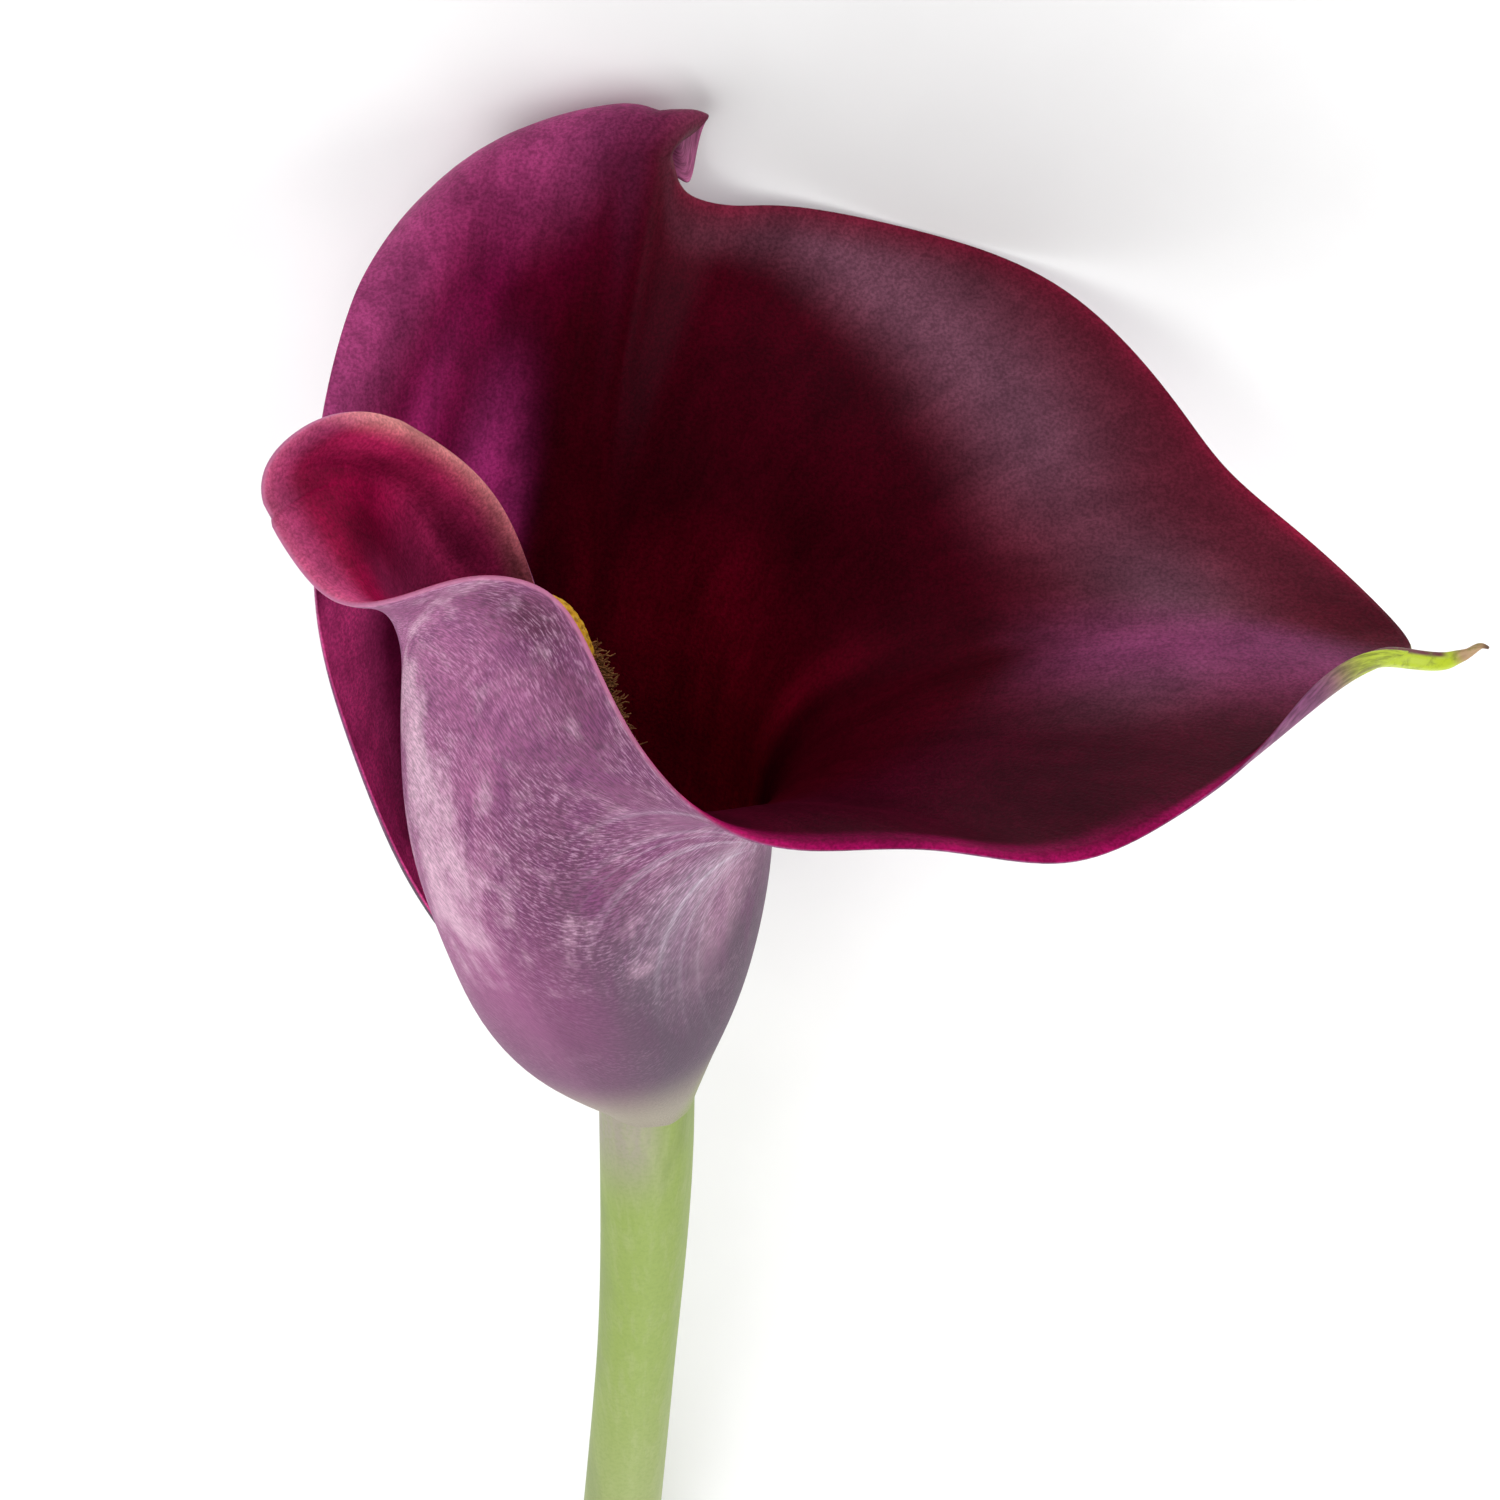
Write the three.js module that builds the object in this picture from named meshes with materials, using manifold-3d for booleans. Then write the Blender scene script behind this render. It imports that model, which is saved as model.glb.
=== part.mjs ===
// A calla lily flower, cut with a length of its stem and laid on its side on a table.
//
// Three grown pieces: the stem, the spathe (one leaf rolled into a funnel, with overlapping
// margins on the left and a green tail on the right) and the spadix inside it.
// Units are millimetres, +Z is up, the table is z = 0, the stem points to -Y and the tail to +X.
//
// The flower is drawn in its own frame (x, height, side): x towards the tail, height along the
// flower's axis from the neck, side towards the wall that lies uppermost. It is then leaned
// over and let down until its lowest points touch the table.

import * as THREE from 'three';
import { mergeVertices } from 'three/addons/utils/BufferGeometryUtils.js';
import Module from 'manifold-3d';

// ---- driving sizes -------------------------------------------------------------------------

const PICTURE_SIZE = 1500;              // width and height of the reference picture, pixels
const PICTURE_SCALE = 0.09;             // mm across one pixel at the middle of the flower
const VIEWER_DISTANCE = 650;            // from the viewer to the middle of the flower
const VIEWER_DEPTH = 40;                // depth of that middle above the neck, along the view
const VIEW_TILT = rad(40);              // angle of the flower's axis out of the picture plane
const NECK_ROW = -32.4;                 // the neck below the middle of the picture

const LYING_PITCH = rad(10.5);          // rise of the flower's axis above the table
const FLAT_SPOT_DEPTH = 0.2;            // how far the low spots are flattened by the weight

const NECK_X = -9.9;                    // the neck's place across the flower
const NECK_GAP = 0.3;                   // clearance where grown pieces meet

const SHEET_BASE_THICKNESS = 1.3;       // spathe at the neck
const SHEET_RIM_THICKNESS = 0.8;        // spathe at its rim
const SEAM_HALF_TURN = 174;             // the sheet's half turn at the neck, degrees
const FLAP_LIFT = 0.95;                 // how far each overlapping margin leaves the tube wall
const OUTER_FLAP_TURNS = [80, 128];     // where the outer margin lifts away, degrees
const INNER_FLAP_TURNS = [-115, -175];  // where the inner margin sinks inwards

const STEM_LENGTH = 120;                // below the neck
const STEM_NECK_RADIUS = 4.6;
const STEM_WAIST_RADIUS = 3.85;
const STEM_END_RADIUS = 4.1;
const STEM_WAIST_AT = 0.35;             // share of the stem's length where it is thinnest
const PEG_HEIGHT = 4;                   // the stem's top, inside the spathe, carries the spadix
const PEG_BASE_RADIUS = 3;
const PEG_TOP_RADIUS = 2.5;
const PEG_ROOT = 2;                     // how far the peg starts inside the stem

const SPADIX_RADIUS = 3.5;
const SPADIX_FOOT_RADIUS = 2.7;
const FLORET_RELIEF = 0.32;             // height of the florets
const FLORETS_AROUND = 10;
const FLORET_ROWS = 19;

// Stations along the rim, from the inner margin round the near wall, the tail and the far wall
// to the outer margin:
// [turn round the axis, picture column, picture row, side, change of the tube's radius,
//  swell of the shoulder, curl length, curl tightness, slide of the curl along the rim,
//  shoulder moved by x, height, side]
const RIM_STATIONS = [
  [-236, 292, 434, 0, -5.5, 0, 0.8, 0, 0, 3.5, 9, -4],
  [-226, 260, 484, 6, -4.5, 0, 0.8, 0, 0, -1, 11, -4],
  [-212, 282, 548, 11, -3, 0, 0.8, 0, 0, -2, 12, -1],
  [-194, 340, 605, 15, -1.2, 0, 0.8, 0, 0, -1, 7, 1],
  [-176, 405, 598, 17, -0.2, 0.08, 0.8, 0, 0, 0, 0, 0],
  [-158, 470, 579, 18, 0, 0.12, 0.8, 0, 0, 0, 0, 0],
  [-142, 540, 592, 18.5, 0, 0.12, 0.8, 0.1, 0, 0, 0, 0],
  [-128, 580, 645, 21, 0, 0.13, 1, 0.2, 0, 0, 0, 0],
  [-112, 622, 735, 25, 0, 0.14, 1.5, 0.2, 0, 0, 0, 0],
  [-93, 695, 812, 29, 0, 0.14, 2, 0.2, 0, 0, 0, 0],
  [-76, 795, 842, 31.5, 0, 0.12, 2, 0.2, 0, 0, 0, 0],
  [-60, 920, 836, 33, 0, 0.1, 2, 0.2, 0, 0, 0, 0],
  [-45, 1050, 851, 33, 0, 0.08, 2, 0.2, 0, 0, 0, 0],
  [-31, 1160, 812, 28, 0, 0.07, 1.5, 0.1, 0, 0, 0, 0],
  [-18, 1270, 746, 16.5, 0, 0.08, 1, 0, 0, 0, 0, 0],
  [-7, 1370, 675, 5, 0, 0.1, 0.8, 0, 0, 0, 0, 0],
  [0, 1445, 656, 0, 0, 0.11, 0.8, 0, 0, 0, 0, 0],
  [7, 1388, 630, -5, 0, 0.11, 0.8, 0, 0, 0, 0, 0],
  [17, 1288, 540, -14.5, 0, 0.12, 1, 0, 0, 0, 0, 0],
  [30, 1153, 405, -28, 0, 0.13, 1.5, 0.1, 0, 0, 0, 0],
  [45, 1048, 300, -37.5, 0, 0.13, 2, 0.15, 0, 0, 0, 0],
  [60, 918, 249, -40, 0, 0.12, 2, 0.15, 0, 0, 0, 0],
  [75, 790, 224, -39.5, 0, 0.1, 2, 0.15, 0, 0, 0, 0],
  [85, 735, 222, -38.5, 0, 0.08, 1.6, 0.16, 0, 0, 0, 0],
  [89, 695, 208, -37, 0, 0.06, 1, 0.2, 0, 0, 0, 0],
  [93, 672, 184, -36, 0, 0.05, 1, 0.25, -0.3, 0, 0, 0],
  [97, 662, 158, -35.5, 0, 0.04, 4.5, 0.26, -0.9, 0, 0, 0],
  [103, 640, 153, -35.5, 0, 0.03, 9, 0.25, -0.55, 0, 0, 0],
  [114, 596, 158, -35.5, 0.3, 0.03, 12, 0.24, -0.3, 0, 0, 0],
  [128, 526, 185, -33.5, 0.6, 0.04, 13, 0.22, -0.1, 0, 0, 0],
  [142, 452, 245, -29, 1.2, 0.06, 12, 0.2, 0, 0, 0, 0],
  [156, 382, 334, -20.5, 2.2, 0.08, 8, 0.18, 0, 0, 0, 0],
  [171, 344, 420, -12, 4, 0.1, 3, 0.15, 0, 0, 0, 0],
  [184, 325, 480, -7, 6.5, 0.1, 0.8, 0.1, 0, 0, 0, 0],
];

// Rings of the funnel's tube, from the neck up:
// [height, middle x, radius across, radius towards the side, share of the change of radius,
//  share of the overlap, share of the lift of the flaps]
const TUBE_RINGS = [
  [0, NECK_X, 4.1, 4.1, 0, 0, 0],
  [7, -12.8, 9, 8.6, 0, 0.1, 1],
  [17, -14.4, 13.9, 13.5, 0.05, 0.8, 1],
  [31, -14.5, 16.6, 15.8, 0.25, 1, 1],
  [45, -13.5, 18.7, 17.3, 0.7, 1, 1],
];

const COLUMNS_PER_STATION = 3;
const ROWS_PER_RING = 3;
const CURL_ROWS = 7;

// ---- small helpers ---------------------------------------------------------------------------

function rad(degrees) {
  return degrees * Math.PI / 180;
}

function ease(from, to, value) {
  const t = Math.min(1, Math.max(0, (value - from) / (to - from)));
  return t * t * (3 - 2 * t);
}

// Values of a smooth curve at t (0 at the first row, 1 at the second and so on). The rows are
// first pushed outwards a little, so that the cubic B-spline drawn from them passes by them.
function smooth(rows, t) {
  const last = rows.length - 1;
  const row = (i) => {
    if (i < 0) return rows[0].map((value, k) => 2 * value - rows[1][k]);
    if (i > last) return rows[last].map((value, k) => 2 * value - rows[last - 1][k]);
    return rows[i];
  };
  const pushed = (i) => {
    if (i < 0) return pushed(0).map((value, k) => 2 * value - pushed(1)[k]);
    if (i > last) return pushed(last).map((value, k) => 2 * value - pushed(last - 1)[k]);
    return rows[i].map((value, k) => (8 * value - row(i - 1)[k] - row(i + 1)[k]) / 6);
  };
  const first = Math.min(last - 1, Math.max(0, Math.floor(t)));
  const f = t - first;
  const weights = [(1 - f) ** 3, 3 * f ** 3 - 6 * f ** 2 + 4, -3 * f ** 3 + 3 * f ** 2 + 3 * f + 1, f ** 3];
  const controls = [-1, 0, 1, 2].map((step) => pushed(first + step));
  return rows[0].map((_, k) => controls.reduce((sum, control, j) => sum + weights[j] * control[k], 0) / 6);
}

// The point of the flower that the viewer sees at a pixel, given how far it stands to the side.
function seenAt(column, row, side) {
  const across = (column - PICTURE_SIZE / 2) * PICTURE_SCALE;
  const up = (PICTURE_SIZE / 2 - row) * PICTURE_SCALE;
  const cos = Math.cos(VIEW_TILT);
  const sin = Math.sin(VIEW_TILT);
  const reach = VIEWER_DISTANCE + VIEWER_DEPTH;
  const height = (up * (reach - side * cos) / VIEWER_DISTANCE - NECK_ROW + side * sin)
    / (cos + up * sin / VIEWER_DISTANCE);
  const depth = height * sin + side * cos;
  return new THREE.Vector3(across * (reach - depth) / VIEWER_DISTANCE, height, side);
}

// A closed solid for joining and cutting, from a three.js geometry.
const wasm = await Module();
wasm.setup();

function solidOf(geometry) {
  const bare = geometry.clone();
  bare.deleteAttribute('normal');
  bare.deleteAttribute('uv');
  const welded = mergeVertices(bare, 1e-5);
  const mesh = new wasm.Mesh({
    numProp: 3,
    vertProperties: new Float32Array(welded.attributes.position.array),
    triVerts: new Uint32Array(welded.index.array),
  });
  return new wasm.Manifold(mesh);
}

function geometryOf(solid) {
  const mesh = solid.getMesh();
  const geometry = new THREE.BufferGeometry();
  geometry.setAttribute('position', new THREE.BufferAttribute(new Float32Array(mesh.vertProperties), 3));
  geometry.setIndex(new THREE.BufferAttribute(new Uint32Array(mesh.triVerts), 1));
  geometry.computeVertexNormals();
  return geometry;
}

function geometryFrom(points, triangles) {
  const geometry = new THREE.BufferGeometry();
  geometry.setAttribute('position', new THREE.Float32BufferAttribute(points.flatMap((p) => p.toArray()), 3));
  geometry.setIndex(triangles.flat());
  return geometry;
}

// A round body along a curve: rings of points closed by a middle point at each end.
// radiusAt(share along, turn) gives the radius, frames hold the middle and the two directions
// across.
function roundBody(frames, around, radiusAt) {
  const points = [];
  const triangles = [];
  frames.forEach(({ middle, right, up }, i) => {
    for (let j = 0; j < around; j += 1) {
      const turn = 2 * Math.PI * j / around;
      const radius = radiusAt(i / (frames.length - 1), turn);
      points.push(middle.clone()
        .addScaledVector(right, radius * Math.cos(turn))
        .addScaledVector(up, radius * Math.sin(turn)));
    }
  });
  for (let i = 0; i < frames.length - 1; i += 1) {
    for (let j = 0; j < around; j += 1) {
      const a = i * around + j;
      const b = i * around + (j + 1) % around;
      triangles.push([a, b, b + around], [a, b + around, a + around]);
    }
  }
  const start = points.push(frames[0].middle.clone()) - 1;
  const end = points.push(frames.at(-1).middle.clone()) - 1;
  const lastRing = (frames.length - 1) * around;
  for (let j = 0; j < around; j += 1) {
    const next = (j + 1) % around;
    triangles.push([start, next, j], [end, lastRing + j, lastRing + next]);
  }
  return geometryFrom(points, triangles);
}

// Frames along a curve, with `right` held across a fixed direction so that nothing twists.
// The ring runs anticlockwise when seen against the way the curve goes.
function framesAlong(curve, count, keepUp) {
  return Array.from({ length: count + 1 }, (_, i) => {
    const share = i / count;
    const tangent = curve.getTangent(share);
    const right = new THREE.Vector3().crossVectors(keepUp, tangent).normalize();
    const up = new THREE.Vector3().crossVectors(tangent, right);
    return { middle: curve.getPoint(share), right, up };
  });
}

// ---- spathe: one sheet rolled into a funnel ---------------------------------------------------

const STATION = { TURN: 0, X: 1, HEIGHT: 2, SIDE: 3, INSET: 4, SWELL: 5, CURL: 6, TIGHT: 7, SLIDE: 8, SHOULDER: 9 };

const stations = RIM_STATIONS.map(([turn, column, row, side, ...rest]) => [
  turn, ...seenAt(column, row, side).toArray(), ...rest,
]);
const FIRST_TURN = stations[0][STATION.TURN];
const LAST_TURN = stations.at(-1)[STATION.TURN];
const LAST_STATION = stations.length - 1;
const CREST = TUBE_RINGS.length + 1;    // where the curl begins, counted in rings

// The profile at one place along the rim: the tube's rings, a shoulder and the crest.
function profileAt(place) {
  const values = smooth(stations, place);
  const turn = values[STATION.TURN];
  const lift = FLAP_LIFT * (ease(...OUTER_FLAP_TURNS, turn) - ease(...INNER_FLAP_TURNS, turn));
  const middleTurn = (FIRST_TURN + LAST_TURN) / 2;
  const narrowTurn = (turn - middleTurn) * SEAM_HALF_TURN / ((LAST_TURN - FIRST_TURN) / 2);
  const rings = TUBE_RINGS.map(([height, middle, across, toSide, inset, overlap, lifted]) => {
    const angle = rad(narrowTurn + overlap * (turn - narrowTurn));
    const change = values[STATION.INSET] * inset + lift * lifted;
    return [middle + (across + change) * Math.cos(angle), height, -(toSide + change) * Math.sin(angle)];
  });
  const crest = new THREE.Vector3(values[STATION.X], values[STATION.HEIGHT], values[STATION.SIDE]);
  const top = new THREE.Vector3(...rings.at(-1));
  const chord = crest.clone().sub(top);
  const along = chord.clone().normalize();
  const inwards = new THREE.Vector3(0, 1, 0).addScaledVector(along, -along.y).normalize();
  const shoulder = top.addScaledVector(chord, 0.5)
    .addScaledVector(inwards, values[STATION.SWELL] * chord.length())
    .add(new THREE.Vector3(...values.slice(STATION.SHOULDER)));
  return { values, rows: [...rings, shoulder.toArray(), crest.toArray()] };
}

// A point of the sheet: place along the rim, level from the neck (0) to the crest, and beyond
// the crest a curl, an arc rolled towards the outer face (up to one more level).
const SMALL_STEP = 1e-3;
const NORMAL_STEP = 0.02;
const LEAST_TIGHTNESS = 1e-4;

function sheetPoint(place, level) {
  const { values, rows } = profileAt(place);
  if (level <= CREST) return new THREE.Vector3(...smooth(rows, level));
  const crest = new THREE.Vector3(...rows.at(-1));
  const tangent = crest.clone().sub(new THREE.Vector3(...smooth(rows, CREST - SMALL_STEP))).normalize();
  const before = new THREE.Vector3(...smooth(stations, Math.max(0, place - SMALL_STEP)).slice(1, 4));
  const after = new THREE.Vector3(...smooth(stations, Math.min(LAST_STATION, place + SMALL_STEP)).slice(1, 4));
  const rimWay = after.sub(before).normalize();
  const outwards = new THREE.Vector3().crossVectors(rimWay, tangent).normalize();
  const length = (level - CREST) * values[STATION.CURL];
  const tight = Math.max(LEAST_TIGHTNESS, values[STATION.TIGHT]);
  return crest
    .addScaledVector(tangent, Math.sin(tight * length) / tight)
    .addScaledVector(outwards, (1 - Math.cos(tight * length)) / tight)
    .addScaledVector(rimWay, values[STATION.SLIDE] * length);
}

function sheetNormal(place, level) {
  const alongRim = sheetPoint(Math.min(LAST_STATION, place + NORMAL_STEP), level)
    .sub(sheetPoint(Math.max(0, place - NORMAL_STEP), level));
  const upwards = sheetPoint(place, Math.min(CREST + 1, level + NORMAL_STEP))
    .sub(sheetPoint(place, Math.max(0, level - NORMAL_STEP)));
  return alongRim.cross(upwards).normalize();
}

function sheetThickness(level) {
  return SHEET_BASE_THICKNESS + (SHEET_RIM_THICKNESS - SHEET_BASE_THICKNESS) * ease(0, CREST, level);
}

// Both faces carry the same triangles, so they stay apart wherever the sheet waves.
function sheetGeometry() {
  const columns = LAST_STATION * COLUMNS_PER_STATION + 1;
  const bodyRows = CREST * ROWS_PER_RING;
  const rows = bodyRows + CURL_ROWS + 1;
  const outer = [];
  const inner = [];
  for (let r = 0; r < rows; r += 1) {
    const level = r <= bodyRows ? r / ROWS_PER_RING : CREST + (r - bodyRows) / CURL_ROWS;
    for (let c = 0; c < columns; c += 1) {
      const place = c / COLUMNS_PER_STATION;
      const point = sheetPoint(place, level);
      const normal = sheetNormal(place, level);
      const half = sheetThickness(level) / 2;
      outer.push(point.clone().addScaledVector(normal, half));
      inner.push(point.clone().addScaledVector(normal, -half));
    }
  }
  const triangles = [];
  const back = outer.length;
  for (let r = 0; r < rows - 1; r += 1) {
    for (let c = 0; c < columns - 1; c += 1) {
      const a = r * columns + c;
      const b = a + 1;
      const d = a + columns;
      const e = d + 1;
      triangles.push([a, b, e], [a, e, d]);
      triangles.push([back + a, back + e, back + b], [back + a, back + d, back + e]);
    }
  }
  const edge = (a, b) => triangles.push([a, back + a, back + b], [a, back + b, b]);
  for (let c = 0; c < columns - 1; c += 1) {
    edge(c, c + 1);
    edge((rows - 1) * columns + c + 1, (rows - 1) * columns + c);
  }
  for (let r = 0; r < rows - 1; r += 1) {
    edge((r + 1) * columns, r * columns);
    edge(r * columns + columns - 1, (r + 1) * columns + columns - 1);
  }
  return geometryFrom([...outer, ...inner], triangles);
}

// The tail: a fleshy horn that grows out of the folded tip of the sheet and dries to a curl.
// [picture column, picture row, side, radius]
const TAIL_POINTS = [
  [1345, 655, 0, 0.9],
  [1390, 655, 0, 1.6],
  [1425, 659, 0, 1.1],
  [1452, 660, 0, 0.72],
  [1472, 654, 0.4, 0.6],
  [1485, 647, 0.8, 0.5],
];
const TAIL_AROUND = 10;
const TAIL_STEPS = 16;

function tailGeometry() {
  const points = TAIL_POINTS.map(([column, row, side]) => seenAt(column, row, side));
  const radii = TAIL_POINTS.map(([, , , radius]) => [radius]);
  const curve = new THREE.CatmullRomCurve3(points);
  const frames = framesAlong(curve, TAIL_STEPS, new THREE.Vector3(0, 0, 1));
  return roundBody(frames, TAIL_AROUND, (share) => smooth(radii, share * (radii.length - 1))[0]);
}

// ---- spadix: a finger covered by tiny florets -------------------------------------------------

const SPADIX_FOOT_GAP = 0.6;            // over the peg's top, so that the slanting foot clears it
const SPADIX_FOOT = new THREE.Vector3(NECK_X - 0.4, PEG_HEIGHT + SPADIX_FOOT_GAP, 0);
const SPADIX_BEND = new THREE.Vector3(-13.5, 34, 0);
const SPADIX_TIP = new THREE.Vector3(-17, 62, 3);
const SPADIX_FULL_AT = 0.25;            // shares of the spadix's length: where it is full,
const SPADIX_TIP_AT = 0.9;              // where its tip begins
const FLORETS_FULL_AT = 0.04;           // and where its florets are full
const SPADIX_TIP_FULLNESS = 0.985;      // below 1, so that the tip ends in a small flat
const SPADIX_AROUND = 40;
const SPADIX_STEPS = 54;

// Slimmer at the foot, full along its length and closed by a rounded tip. Each floret is a low
// round bump, and every second row is turned by half a floret.
function spadixRadius(share, turn) {
  const body = SPADIX_FOOT_RADIUS + (SPADIX_RADIUS - SPADIX_FOOT_RADIUS) * ease(0, SPADIX_FULL_AT, share);
  const intoTip = Math.max(0, share - SPADIX_TIP_AT) / (1 - SPADIX_TIP_AT);
  const tip = Math.sqrt(1 - (SPADIX_TIP_FULLNESS * intoTip) ** 2);
  const row = share * FLORET_ROWS;
  const floret = Math.cos(FLORETS_AROUND * turn + Math.PI * row) * Math.cos(Math.PI * row);
  return (body + FLORET_RELIEF * floret * ease(0, FLORETS_FULL_AT, share)) * tip;
}

function spadixGeometry() {
  const curve = new THREE.QuadraticBezierCurve3(SPADIX_FOOT, SPADIX_BEND, SPADIX_TIP);
  const frames = framesAlong(curve, SPADIX_STEPS, new THREE.Vector3(0, 0, 1));
  return roundBody(frames, SPADIX_AROUND, spadixRadius);
}

// ---- laying the flower down -------------------------------------------------------------------

const laid = new THREE.Matrix4().makeRotationX(LYING_PITCH);

const sheetSolid = solidOf(sheetGeometry().applyMatrix4(laid));
const tailSolid = solidOf(tailGeometry().applyMatrix4(laid));
const spatheSolid = sheetSolid.add(tailSolid);
const spadixSolid = solidOf(spadixGeometry().applyMatrix4(laid));
const tableLevel = spatheSolid.boundingBox().min[2] + FLAT_SPOT_DEPTH;

// ---- stem: leaves the neck along the flower's axis and sinks to the table ---------------------

const STEM_AROUND = 24;
const STEM_STEPS = 24;
const STEM_LEAVES_BY = 42;              // how strongly each end of the stem holds its direction
const STEM_LANDS_BY = 45;
const STEM_SIDEWAYS = -6;               // drift of the cut end across the table

function stemRadius(share) {
  const upper = STEM_NECK_RADIUS + (STEM_WAIST_RADIUS - STEM_NECK_RADIUS) * ease(0, STEM_WAIST_AT, share);
  return upper + (STEM_END_RADIUS - STEM_WAIST_RADIUS) * ease(STEM_WAIST_AT, 1, share);
}

function stemSolid() {
  const axis = new THREE.Vector3(0, 1, 0).applyMatrix4(laid);
  const neck = new THREE.Vector3(NECK_X, 0, 0).applyMatrix4(laid);
  const shoulder = neck.clone().addScaledVector(axis, -(NECK_GAP + SHEET_BASE_THICKNESS / 3));
  const end = new THREE.Vector3(NECK_X + STEM_SIDEWAYS, neck.y - STEM_LENGTH,
    tableLevel + STEM_END_RADIUS - FLAT_SPOT_DEPTH);
  const curve = new THREE.CubicBezierCurve3(
    shoulder,
    shoulder.clone().addScaledVector(axis, -STEM_LEAVES_BY),
    end.clone().add(new THREE.Vector3(0, STEM_LANDS_BY, 0)),
    end,
  );
  const frames = framesAlong(curve, STEM_STEPS, new THREE.Vector3(0, 0, 1));
  const shaft = solidOf(roundBody(frames, STEM_AROUND, stemRadius));
  const pegCurve = new THREE.LineCurve3(
    shoulder.clone().addScaledVector(axis, -PEG_ROOT),
    neck.clone().addScaledVector(axis, PEG_HEIGHT),
  );
  const pegFrames = framesAlong(pegCurve, 1, new THREE.Vector3(0, 0, 1));
  const pegRadius = (share) => PEG_BASE_RADIUS + (PEG_TOP_RADIUS - PEG_BASE_RADIUS) * share;
  const peg = solidOf(roundBody(pegFrames, STEM_AROUND, pegRadius));
  return shaft.add(peg);
}

// Everything below the table level is pressed flat: small flat spots under the stem's end and
// under the rim.
const CUT_SIZE = 600;                   // edge of the cutting block, wider than the flower

function tableCut(solid) {
  const block = new THREE.BoxGeometry(CUT_SIZE, CUT_SIZE, CUT_SIZE);
  block.translate(0, 0, tableLevel - CUT_SIZE / 2);
  return solid.subtract(solidOf(block));
}

const pieces = {
  spathe: { solid: tableCut(spatheSolid), color: 0x6d1f4b, roughness: 0.5 },
  spadix: { solid: spadixSolid, color: 0xc9a22e, roughness: 0.85 },
  stem: { solid: tableCut(stemSolid()), color: 0x9db85c, roughness: 0.55 },
};

// The middle of the footprint goes to the origin, and the table to z = 0.
const bounds = new THREE.Box3();
for (const { solid } of Object.values(pieces)) {
  const box = solid.boundingBox();
  bounds.expandByPoint(new THREE.Vector3(...box.min));
  bounds.expandByPoint(new THREE.Vector3(...box.max));
}
const middle = bounds.getCenter(new THREE.Vector3());

const flower = new THREE.Group();
flower.name = 'calla_lily_flower';
flower.position.set(-middle.x, -middle.y, -tableLevel);
for (const [name, { solid, color, roughness }] of Object.entries(pieces)) {
  const material = new THREE.MeshStandardMaterial({ color, roughness, metalness: 0 });
  const mesh = new THREE.Mesh(geometryOf(solid), material);
  mesh.name = name;
  flower.add(mesh);
}

export default flower;
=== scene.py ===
"""A calla lily flower, cut with a length of its stem and lying on a table.

Shapes are worked out in the flower's own frame, in millimetres: x towards the green tail, height
along the flower's axis from the neck, side towards the wall that lies uppermost. Each piece is then
laid on the table, in metres.
"""

import bpy
import numpy as np
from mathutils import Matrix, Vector


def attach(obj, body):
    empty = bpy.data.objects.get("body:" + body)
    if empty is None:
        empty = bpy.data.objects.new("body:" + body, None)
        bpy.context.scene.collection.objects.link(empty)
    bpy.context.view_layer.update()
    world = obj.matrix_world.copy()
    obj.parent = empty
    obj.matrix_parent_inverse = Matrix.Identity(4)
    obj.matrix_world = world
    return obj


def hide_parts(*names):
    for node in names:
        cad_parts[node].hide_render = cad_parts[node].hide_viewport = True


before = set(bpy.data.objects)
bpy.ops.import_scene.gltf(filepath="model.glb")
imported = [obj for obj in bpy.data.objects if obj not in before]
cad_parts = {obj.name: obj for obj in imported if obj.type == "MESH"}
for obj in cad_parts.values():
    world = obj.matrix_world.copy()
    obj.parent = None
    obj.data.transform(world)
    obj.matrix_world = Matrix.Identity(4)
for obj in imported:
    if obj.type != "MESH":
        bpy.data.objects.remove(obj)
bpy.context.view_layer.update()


# ---- spathe --------------------------------------------
# One fleshy leaf rolled into a funnel round the spadix, grown as one piece with the flower's neck.
# Its inner margin stands out on the left as a spout, its outer margin rolls back over the top in a
# small scroll, and between them the limb runs out to a point on the right.

PICTURE_SIZE = 1500                 # pixels
PICTURE_SCALE = 0.09                # mm across one pixel at the middle of the flower
VIEWER_DISTANCE = 650               # from the viewer to the middle of the flower
VIEWER_DEPTH = 40                   # depth of that middle above the neck, along the view
VIEW_TILT = np.radians(40)          # angle of the flower's axis out of the picture plane
NECK_ROW = -32.4                    # the neck below the middle of the picture
NECK_X = -9.9                       # the neck's place across the flower
LYING_PITCH = np.radians(10.5)      # rise of the flower's axis above the table
NECK_ON_TABLE = np.array([-21.547, 13.855, 28.321])

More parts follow.
